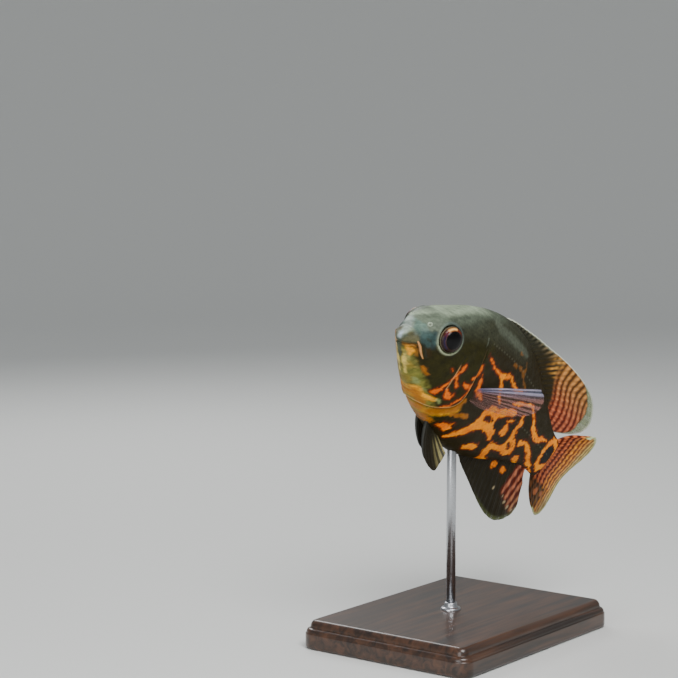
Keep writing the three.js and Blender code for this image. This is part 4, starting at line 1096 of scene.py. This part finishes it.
def build_fin(node, slot, fin, tone_of):
    """Closed fin: a web with rays raised on both faces and a thin rim, a little frayed between them."""
    fin = {**FIN_DEFAULTS, **fin}
    columns = fin["rays"] * fin["fill"]
    rows = fin["rows"]
    t = np.broadcast_to((np.arange(columns + 1) / columns)[:, None], (columns + 1, rows + 1))
    ray = t * fin["rays"]
    part = np.broadcast_to((np.arange(rows + 1) / rows)[None, :], t.shape)
    between = 4 * (ray % 1) * (1 - ray % 1)
    reach = 1 - fin["notch"](t) * between ** 0.7
    soft = ease(fin["spines"] - 0.5, fin["spines"] + 0.5, ray)
    fray = 0.006 * np.abs(ripples(ray * 3, 0 * ray, 2.3, 41)) * soft
    s = part * (reach - fray)
    point = sheet_points(fin, t, s)
    step = 0.01
    low_s = np.maximum(s - step, 0)
    along = sheet_points(fin, t, np.minimum(s + step, 1)) - sheet_points(fin, t, low_s)
    across = sheet_points(fin, np.minimum(t + step, 1), s) - sheet_points(fin, np.maximum(t - step, 0), s)
    normal = np.cross(across, along)
    normal /= np.linalg.norm(normal, axis=-1, keepdims=True) + 1e-12

    ridge = ray_ridge(fin, ray, s)
    web = mix(FIN_HALF["webRoot"] * 0.8, FIN_HALF["webRim"] * 0.85, s)
    proud = mix(FIN_HALF["rayRoot"], FIN_HALF["rayRim"], s) - web
    thick = (web + proud * ridge) * mix(1, 0.55, ease(0.94, 1, part))
    wave = 0.16 * ripples(ray, s * 6, 5, 43) * ease(0.2, 0.8, s)
    middle = point + normal * wave[..., None]
    left = middle + normal * thick[..., None]
    right = middle - normal * thick[..., None]
    tone, solidity = tone_of(t, part, ray, ridge, point[..., 0], point[..., 2])

    width = rows + 1
    count = (columns + 1) * width
    column = np.arange(columns) * width
    row = np.arange(rows)

    def rim(a, b, turned):
        quads = np.stack([a, b, b + count, a + count], -1)
        return quads[:, ::-1] if turned else quads
    face = grid_faces(columns + 1, width, False)
    outer = rim(column + rows, column + width + rows, True)
    inner = rim(column, column + width, False)
    first = rim(row, row + 1, True)
    last = rim(columns * width + row, columns * width + row + 1, False)
    quads = np.concatenate([face, face[:, ::-1] + count, outer, inner, first, last])
    points = np.concatenate([left.reshape(-1, 3), right.reshape(-1, 3)])
    tones = np.concatenate([tone.reshape(-1, 3)] * 2)
    clear = np.concatenate([solidity.ravel()] * 2)
    flip = np.sum(np.cross(across, along)[0, 0] * normal[0, 0]) < 0
    piece = mesh_piece(f"live_{node}", to_frame(points), quads, tones, clear, flip)
    return finish_piece(piece, FIN_MATERIAL, slot, node)


# Fin colours: each tone function gives colour and solidity by the share from the first ray to the last (t),
# the share from root to rim (s), the place in rays, the rays' ridges, and the millimetres back (x) and up (h).
FIN_DARK = rgb(44, 36, 16)
FIN_BLACK = rgb(32, 27, 13)
FIN_PINK = rgb(196, 118, 84)
FIN_SALMON = rgb(204, 112, 74)
FIN_ORANGE = rgb(206, 138, 82)
FIN_AMBER = rgb(226, 160, 74)
FIN_TAN = rgb(176, 140, 92)
RIM_PALE = rgb(214, 222, 170)
RIM_GREEN = rgb(122, 134, 78)
RIM_WHITE = rgb(214, 218, 200)
LAVENDER = rgb(112, 106, 132)
LAVENDER_PALE = rgb(192, 182, 200)
# Pale specks at the anal fin's rim: back, up and radius in millimetres.
ANAL_SPECKS = [
    (103.6, -24.3, 0.9), (115.4, -25.6, 0.9), (119.5, -26.3, 1.1), (112.0, -24.2, 0.6), (123.4, -26.0, 0.8),
]


def stripes(phase, share_lit=0.5, edge=0.12):
    """Repeating band in 0 to 1 that is lit for a share of each unit of phase."""
    place = np.abs(phase - np.round(phase))
    return ease(share_lit / 2 + edge, share_lit / 2 - edge, place)


def rim_distance(fin, t, s):
    """Millimetres in from a fin's rim, along its rays."""
    return (1 - s) * np.linalg.norm(fin["edge"](t) - fin["base"](t), axis=-1) * AXIS_LENGTH


def ray_beads(ray, depth):
    """Marks break up between the rays."""
    return 1 - depth * (0.5 + 0.5 * np.cos(2 * math.pi * (ray - 0.5)))


def dorsal_tone(t, s, ray, ridge, x, h):
    """Dark in front with pale tips, rows of red to amber marks on the soft part, a clear green rim behind."""
    front = ease(0.55, 0.3, t)
    tone = paint(np.broadcast_to(FIN_DARK, t.shape + (3,)), SLATE, front * 0.7)
    tone = paint(tone, rgb(20, 20, 14), front * (1 - ridge) * ease(0.2, 0.7, s) * 0.6)
    upper = ease(0.45, 0.85, s) * ease(0.66, 0.44, t)
    streak = stripes(ray + 1.1 * s, 0.42, 0.2)
    tan = paint(rgb(128, 122, 96), FIN_TAN, ease(70, 88, x))
    tone = paint(tone, tan, upper * streak * mix(0.4, 0.75, ease(66, 88, x)))
    amber = ease(83, 89, x) * ease(99, 94, x) * ease(27.5, 31, h)
    amber = amber * stripes(ray + 0.4 * s, 0.5, 0.22)
    tone = paint(tone, FIN_AMBER, amber * (0.5 + 0.4 * ripples(x, h, 2.4, 60)))

    shift = 8 * ease(32.5, 18.5, h) + 0.12 * np.maximum(20 - h, 0)
    phase = (x - 95.5 - shift + 0.35 * ripples(x, h, 7, 51)) / 3.9
    end = 122.4 - 0.12 * np.maximum(h - 26, 0) ** 2 - 0.16 * np.maximum(20 - h, 0) ** 2
    rows = ease(90.5, 94, x - shift) * ease(end + 1.2, end - 0.6, x)
    gap = paint(rgb(96, 22, 5), rgb(80, 46, 14), ease(20, 33, h))
    warm = paint(FIN_SALMON, FIN_ORANGE, ease(18, 31, h))
    warm = paint(warm, FIN_AMBER, ease(28, 36, h) * 0.5)
    tone = paint(tone, gap, rows * 0.95)
    tone = paint(tone, warm, stripes(phase, 0.5, 0.17) * ray_beads(ray, 0.4) * rows)
    clear = ease(end - 0.2, end + 1.4, x) * ease(0.5, 0.62, t)
    tone = paint(tone, RIM_GREEN, clear * 0.92)
    pale_tip = ease(0.8, 0.97, s) * ease(0.5, 0.42, t)
    tone = paint(tone, rgb(170, 176, 150), pale_tip * 0.5)
    edge = ease(1.0, 0.5, rim_distance(dorsal_sheet(), t, s))
    tone = paint(tone, RIM_WHITE, edge * 0.85)
    return tone, 1 - clear * mix(0.5, 0.4, ridge)


def anal_tone(t, s, ray, ridge, x, h):
    """Near black, with slanting rows of pink to amber marks behind and a green rim."""
    tone = paint(np.broadcast_to(FIN_BLACK, t.shape + (3,)), FIN_DARK, ease(0.5, 0.9, t) * 0.7)
    slant = 0.10 * (h + 16)
    phase = (x - 109.4 + slant + 0.35 * ripples(x, h, 6, 52)) / 3.9
    span = ease(106.6, 108.0, x + slant) * ease(125.5, 122.5, x + slant)
    low = -22.6 - 0.3 * (x - 109)
    tall = ease(low - 1.4, low + 1.0, h + 0.6 * ripples(ray * 2, 0 * ray, 2.1, 58))
    tone = paint(tone, rgb(84, 20, 8), span * ease(low - 3, low + 1.5, h) * 0.85)
    lit = stripes(phase, 0.44, 0.15) * ray_beads(ray, 0.45) * span * tall
    tone = paint(tone, paint(FIN_PINK, FIN_TAN, ease(114, 124, x) * 0.6), lit * 0.92)
    near = np.min([np.hypot((x - place[0]) * 1.4, h - place[1]) - place[2] for place in ANAL_SPECKS], axis=0)
    tone = paint(tone, rgb(186, 168, 130), ease(0.4, -0.5, near) * 0.75)
    blobs = np.minimum(np.hypot(x - 94.9, (h + 16.8) * 0.75), np.hypot((x - 101.3) * 0.8, h + 16.0)) - 1.5
    blobs = blobs + 0.3 * ripples(x, h, 2.2, 56)
    tone = paint(tone, RUST, ease(1.0, 0.2, blobs) * 0.8)
    tone = paint(tone, ORANGE, ease(0.3, -0.5, blobs))
    rim = ease(0.9, 0.99, s) * ease(0.3, 0.7, t)
    tone = paint(tone, RIM_GREEN, rim * 0.5)
    return tone, 1 - 0.3 * rim * (1 - ridge)


def caudal_tone(t, s, ray, ridge, x, h):
    """Upright rows of marks, pink near the root and amber outwards, dark olive low down, with a pale rim."""
    inward = rim_distance(caudal_sheet(), t, s)
    low = np.maximum(-3 - h, 0)
    phase = (x - 126.4 - 0.3 * low + 0.06 * np.maximum(h - 8, 0) + 0.4 * ripples(x, h, 7, 53)) / 3.45
    gap = paint(rgb(84, 16, 4), rgb(128, 56, 10), ease(128, 138, x))
    gap = paint(gap, rgb(148, 112, 36), ease(137, 146, x))
    warm = paint(rgb(206, 112, 64), rgb(255, 164, 48), ease(127, 134, x))
    warm = paint(warm, rgb(232, 206, 120), ease(137, 145, x))
    tone = paint(gap, warm, stripes(phase, 0.5, 0.15) * ray_beads(ray, 0.4))
    blobs = np.minimum(np.hypot(x - 128.5, h + 12.3) - 1.9, np.hypot(x - 134, h + 11.2) - 1.5)
    under = ease(-7.0, -9.5, h + 0.3 * ripples(x, h, 3, 59)) * ease(141, 133, x)
    tone = paint(tone, FIN_DARK, under * 0.85)
    tone = paint(tone, rgb(176, 100, 56), under * ease(0.4, -0.6, blobs) * 0.8)
    tone = paint(tone, rgb(120, 84, 34), ease(-9, -13, h) * ease(134, 142, x) * 0.6)
    rim = ease(3.4, 1.4, inward)
    corner = ease(0.55, 0.85, t)
    tone = paint(tone, rgb(150, 150, 72), rim * 0.7)
    tone = paint(tone, RIM_PALE, ease(2.4, 1.0, inward) * mix(0.4, 0.95, corner))
    return tone, 1 - 0.2 * rim * (1 - ridge)


def pectoral_tone(t, s, ray, ridge, x, h):
    """Clear web with fine dark and pink rays, the upper rays lavender."""
    leading = ease(mix(0.28, 0.17, s), mix(0.1, 0.07, s), t)
    tone = np.broadcast_to(rgb(150, 112, 110), t.shape + (3,))
    tone = paint(tone, rgb(196, 126, 110), (0.5 + 0.5 * ripples(ray, 4 * s, 3, 57)) * 0.5)
    tone = paint(tone, rgb(56, 46, 46), ridge * ease(0.35, 0.75, t) * 0.6)
    tone = paint(tone, LAVENDER, leading)
    tone = paint(tone, rgb(84, 94, 116), leading * ease(0.6, 0.95, s) * 0.8)
    tone = paint(tone, LAVENDER_PALE, leading * ridge * ease(0.1, 0.5, s) * 0.7)
    tone = paint(tone, rgb(104, 92, 86), ease(0.12, 0.02, s) * 0.7)
    solidity = mix(mix(0.05, 0.36, leading), mix(0.42, 0.92, leading), ridge)
    return tone, np.clip(np.maximum(solidity, ease(0.12, 0.02, s)), 0, 1)


def pelvic_tone(t, s, ray, ridge, x, h):
    """Near black in front, with pale yellow rays behind."""
    tone = np.broadcast_to(FIN_BLACK, t.shape + (3,))
    tone = paint(tone, rgb(84, 78, 52), ease(0.5, 0.95, t) * s * 0.7)
    lit = ease(0.5, 0.9, t) * ridge * ease(0.25, 0.6, s)
    tone = paint(tone, rgb(220, 206, 140), lit * 0.6)
    tone = paint(tone, rgb(74, 76, 74), ridge * ease(0.25, 0.0, t) * 0.5)
    return tone, 1 - 0.25 * ease(0.6, 1, t) * ease(0.4, 0.9, s) * (1 - ridge)


def build_fins():
    build_fin("dorsal_fin", "dorsal_fin", dorsal_sheet(), dorsal_tone)
    build_fin("anal_fin", "anal_fin", anal_sheet(), anal_tone)
    build_fin("caudal_fin", "caudal_fin", caudal_sheet(), caudal_tone)
    for name, side in SIDES.items():
        build_fin(f"pectoral_fin_{name}", "pectoral_fin", pectoral_sheet(side), pectoral_tone)
        build_fin(f"pelvic_fin_{name}", "pelvic_fin", pelvic_sheet(side), pelvic_tone)


# Eyes: a domed ball with a near-black pupil and a dark iris, lit gold above the pupil and indigo in front.
EYE_RINGS = 72
EYE_SIDES = 128
EYE_WRAP = 1.12
EYE_DEPTH = 1.1
LENS_RISE = 0.16
PUPIL_SHARE = 0.70
PUPIL_BLACK = rgb(5, 5, 6)
IRIS_DARK = rgb(30, 20, 16)


def eye_tone(share_out, turn):
    """Colour by the share of the way out from the pupil's middle and the turn from up towards the snout."""
    up = np.cos(turn)
    ahead = np.sin(turn)
    fibre = 0.5 + 0.5 * np.sin(turn * 46 + 3 * np.sin(turn * 7))
    tone = np.broadcast_to(IRIS_DARK, share_out.shape + (3,))
    tone = paint(tone, rgb(56, 30, 20), fibre * 0.4)
    tone = paint(tone, rgb(104, 36, 14), bell(share_out - 0.80, 0.12) * ease(0.2, 0.75, up) * 0.9)
    tone = paint(tone, rgb(32, 24, 68), bell(share_out - 0.79, 0.07) * ease(0.45, 0.85, ahead) * 0.55)
    gold = bell(share_out - 0.84, 0.075) * ease(0.84, 0.94, up + 0.08 * ahead)
    tone = paint(tone, rgb(255, 190, 104), gold * (0.85 + 0.15 * fibre))
    tone = paint(tone, rgb(120, 74, 40), bell(share_out - PUPIL_SHARE - 0.02, 0.02) * 0.2)
    tone = paint(tone, PUPIL_BLACK, ease(PUPIL_SHARE + 0.01, PUPIL_SHARE - 0.02, share_out))
    return paint(tone, EYE_EDGE, ease(0.965, 1.0, share_out))


def build_eye(name, side):
    centre, normal, up, ahead = eye_frame(side)
    across = ahead * -side
    lift = (np.arange(1, EYE_RINGS + 1) / EYE_RINGS * math.pi / 2 * EYE_WRAP)[:, None]
    turn = (np.arange(EYE_SIDES) / EYE_SIDES * 2 * math.pi)[None, :]
    out = np.sin(np.minimum(lift, math.pi / 2)) * (EYE_RADIUS - 0.05)
    out = out - 0.5 * np.maximum(lift - math.pi / 2, 0)
    height = EYE_BULGE * np.cos(lift)
    lens = LENS_RISE * ease(PUPIL_SHARE + 0.06, PUPIL_SHARE - 0.04, out / EYE_RADIUS)
    height = height + lens - 0.1 * bell(out / EYE_RADIUS - 0.72, 0.12)
    points = centre + normal * height[..., None]
    points = points + across * (out * np.sin(turn))[..., None] + up * (out * np.cos(turn))[..., None]
    share_out, turns = np.broadcast_arrays(out / EYE_RADIUS, turn)
    tone = eye_tone(share_out, turns * -side)
    points, quads = shell(points, centre + normal * (EYE_BULGE + LENS_RISE), centre - normal * EYE_DEPTH)
    tones = np.concatenate([tone.reshape(-1, 3), [PUPIL_BLACK, rgb(20, 18, 16)]])
    piece = mesh_piece(f"live_eye_{name}", to_frame(points), quads, tones)
    return finish_piece(piece, EYE_MATERIAL, "eye", f"eye_{name}")


def eye_material():
    material, tree, shader = new_material(
        "oscar_eye", Roughness=0.3, Specular_IOR_Level=0.1, Coat_Weight=0.15, Coat_Roughness=0.03,
    )
    fleck = remap(tree, noise_node(tree, 2600, 3), 0.8, 1.2)
    set_inputs(tree, shader, Base_Color=tinted(tree, painted(tree, "tone", "Color"), fleck))
    return material


EYE_MATERIAL = eye_material()


# Stand: a routed wooden base, and a steel rod with a collar, a turned form in (radius, height over the base).
# The rod goes down into the base by millimetres, and up into the belly by a share of the axis.
WOOD_DARK = rgb(34, 22, 15)
WOOD_PALE = rgb(78, 50, 33)
ROD_SINK = 6
ROD_BITE = 0.03
BASE_STEPS = 9
CORNER_STEPS = 14
COLLAR = [(0, -1), (4.3, -1), (4.3, 0.5), (4, 0.9), (3.2, 1.1), (2.8, 1.6), (2.7, 2.8), (2.4, 3.2), (0, 3.2)]


def wood_material():
    material, tree, shader = new_material("stand_wood", Roughness=0.34, Coat_Weight=0.35, Coat_Roughness=0.2)
    place = add_node(tree, "TexCoord", "Object")
    along = add_node(tree, "Mapping", "Vector", Vector=place, Scale=(14, 190, 190))
    grain = add_node(tree, "TexNoise", "Fac", Vector=along, Scale=1.6, Detail=8, Distortion=0.9)
    ramp = tree.nodes.new("ShaderNodeValToRGB")
    for element, spot, tone in zip(ramp.color_ramp.elements, (0.36, 0.68), (WOOD_DARK, WOOD_PALE)):
        element.position = spot
        element.color = (*tone, 1)
    set_inputs(tree, ramp, Fac=grain)
    set_inputs(tree, shader, Base_Color=ramp.outputs["Color"], Normal=bump_node(tree, grain, 0.35, 0.0001))
    return material


def steel_material():
    material, tree, shader = new_material("stand_steel", Metallic=1.0, Base_Color=(*rgb(186, 188, 192), 1))
    set_inputs(tree, shader, Roughness=remap(tree, noise_node(tree, 1400, 5), 0.26, 0.32))
    return material


def rounded_outline(inset):
    """Rounded rectangle of the base, drawn in by an inset."""
    corner = BASE_CORNER - min(inset, BASE_CORNER - 1)
    reach = Vector((BASE_SIZE.x / 2 - inset - corner, BASE_SIZE.y / 2 - inset - corner))
    points = []
    for quarter, (sx, sy) in enumerate([(1, 1), (-1, 1), (-1, -1), (1, -1)]):
        for step in range(CORNER_STEPS + 1):
            turn = (quarter + step / CORNER_STEPS) * math.pi / 2
            points.append((sx * reach.x + corner * math.cos(turn), sy * reach.y + corner * math.sin(turn)))
    return np.array(points)


def build_base():
    """The base as rings of its outline: bevelled foot, straight side, routed cove and rounded top."""
    steps = np.linspace(0, math.pi / 2, BASE_STEPS)
    profile = [(1.4, 0.0), (0.3, 0.5), (0.0, 1.4), (0.0, 6.4), (0.25, 6.7)]
    profile += [(0.4 + 1.5 * (1 - math.cos(a)), 6.9 + 1.9 * math.sin(a) * 0.9) for a in steps]
    profile += [(2.1 + 2.4 * (1 - math.cos(a)), 8.8 + 3.2 * math.sin(a)) for a in steps]
    rings = []
    for inset, height in profile:
        outline = rounded_outline(inset)
        rings.append(np.column_stack([outline, np.full(len(outline), min(height, BASE_SIZE.z))]))
    points, quads = shell(np.array(rings), (0, 0, 0), (0, 0, BASE_SIZE.z))
    piece = mesh_piece("stand_plinth", points * MM, quads)
    weighted = piece.modifiers.new("weighted", "WEIGHTED_NORMAL")
    weighted.keep_sharp = True
    return finish_piece(piece, wood_material(), "stand_base", "stand_base")


def lathe(name, profile, centre, sides=64):
    """Turned piece on an upright axis: its profile, (radius, height), starts and ends on the axis."""
    turn = np.arange(sides) / sides * 2 * math.pi
    radii, heights = np.array(profile, float).T[..., None]
    rings = vector(centre[0] + radii * np.cos(turn), centre[1] + radii * np.sin(turn), heights)
    points, quads = shell(rings[1:-1], rings[0, 0], rings[-1, 0])
    return mesh_piece(name, points * MM, quads)


def build_rod():
    steel = steel_material()
    belly = vector(ROD_SHARE, 0, bottom_of(ROD_SHARE) + ROD_BITE) * AXIS_LENGTH
    top = to_frame(belly) / MM
    low = BASE_SIZE.z - ROD_SINK
    shoulder = [(ROD_RADIUS, top[2] - 2.0), (ROD_RADIUS - 0.4, top[2] - 0.6), (0, top[2])]
    rod = lathe("stand_post", [(0, low), (ROD_RADIUS, low), *shoulder], top)
    collar = lathe("stand_collar", [(radius, BASE_SIZE.z + height) for radius, height in COLLAR], top)
    finish_piece(rod, steel, "stand_rod", "stand_rod")
    finish_piece(collar, steel, "stand_rod")


# Room, light and camera.
CAMERA_AZIMUTH = math.radians(-56.15)
CAMERA_ELEVATION = math.radians(8)
CAMERA_DISTANCE = 0.9
PICTURE_SIDE = 678
PICTURE_WIDTH = 0.2875
CENTRE_PIXEL = (475, 390.5)
# The floor: flat rings out to its reach, then a bowl that bends up.
FLOOR_SIDES = 96
FLOOR_STEPS = 25
FLOOR_RADII = [0.2, 0.6, 1.0]
FLOOR_REACH = 1.3
FLOOR_BEND = 1.2
# Lamps: place, width and power.
LAMPS = {
    "key": ((-0.35, -0.45, 0.75), 0.5, 8.0),
    "fill": ((-0.75, -0.10, 0.20), 0.5, 2.4),
    "rim": ((0.35, 0.55, 0.55), 0.4, 2.4),
}


def look_along(back):
    return back.to_track_quat("Z", "Y")


def build_camera():
    camera = bpy.data.objects.new("camera", bpy.data.cameras.new("camera"))
    bpy.context.scene.collection.objects.link(camera)
    back = Vector((
        math.sin(CAMERA_AZIMUTH) * math.cos(CAMERA_ELEVATION),
        -math.cos(CAMERA_AZIMUTH) * math.cos(CAMERA_ELEVATION),
        math.sin(CAMERA_ELEVATION),
    ))
    camera.location = CENTRE * MM + back * CAMERA_DISTANCE
    field = 2 * math.atan(PICTURE_WIDTH / 2 / CAMERA_DISTANCE)
    camera.data.angle = field
    camera.data.clip_start = 0.02
    camera.data.clip_end = 20
    half = PICTURE_SIDE / 2
    right = (CENTRE_PIXEL[0] - half) / half * math.tan(field / 2)
    down = (CENTRE_PIXEL[1] - half) / half * math.tan(field / 2)
    straight = look_along(back)
    aim = straight @ Vector((-right, down, -1)).normalized()
    camera.rotation_mode = "QUATERNION"
    camera.rotation_quaternion = look_along(-aim)
    bpy.context.scene.camera = camera


def build_lamp(name, place, size, power):
    """Round soft lamp that looks at the fish."""
    light = bpy.data.lights.new(name, "AREA")
    light.shape = "DISK"
    light.size = size
    light.energy = power
    lamp = bpy.data.objects.new(name, light)
    bpy.context.scene.collection.objects.link(lamp)
    lamp.location = place
    lamp.rotation_mode = "QUATERNION"
    lamp.rotation_quaternion = look_along(Vector(place) - CENTRE * MM)


def build_floor():
    """A seamless pale bowl round the floor."""
    lift = np.linspace(0, math.pi / 2, FLOOR_STEPS)
    radii = np.concatenate([FLOOR_RADII, FLOOR_REACH + FLOOR_BEND * np.sin(lift)])[:, None]
    heights = np.concatenate([0 * np.array(FLOOR_RADII), FLOOR_BEND * (1 - np.cos(lift))])[:, None]
    turn = np.arange(FLOOR_SIDES) / FLOOR_SIDES * 2 * math.pi
    rings = vector(radii * np.cos(turn), radii * np.sin(turn), heights)
    rows = len(radii)
    column = np.arange(FLOOR_SIDES)
    middle = np.full(FLOOR_SIDES, rows * FLOOR_SIDES)
    fan = np.stack([middle, column, (column + 1) % FLOOR_SIDES, np.full(FLOOR_SIDES, -1)], -1)
    points = np.concatenate([rings.reshape(-1, 3), [[0, 0, 0]]])
    bowl = mesh_piece("floor", points, np.concatenate([grid_faces(rows, FLOOR_SIDES, True)[:, ::-1], fan]))
    material = new_material("pale_floor", Roughness=0.9, Base_Color=(*rgb(222, 223, 220), 1))[0]
    bowl.data.materials.append(material)


def build_room():
    """Floor, soft daylight from above and three soft lamps."""
    build_floor()
    world = bpy.data.worlds.new("studio")
    world.use_nodes = True
    sky = world.node_tree.nodes["Background"]
    set_inputs(world.node_tree, sky, Color=(*rgb(228, 232, 236), 1), Strength=0.45)
    bpy.context.scene.world = world
    for name, lamp in LAMPS.items():
        build_lamp(name, *lamp)


build_camera()
build_room()
build_skin()
build_fins()
for eye_name, eye_side in SIDES.items():
    build_eye(eye_name, eye_side)
build_base()
build_rod()
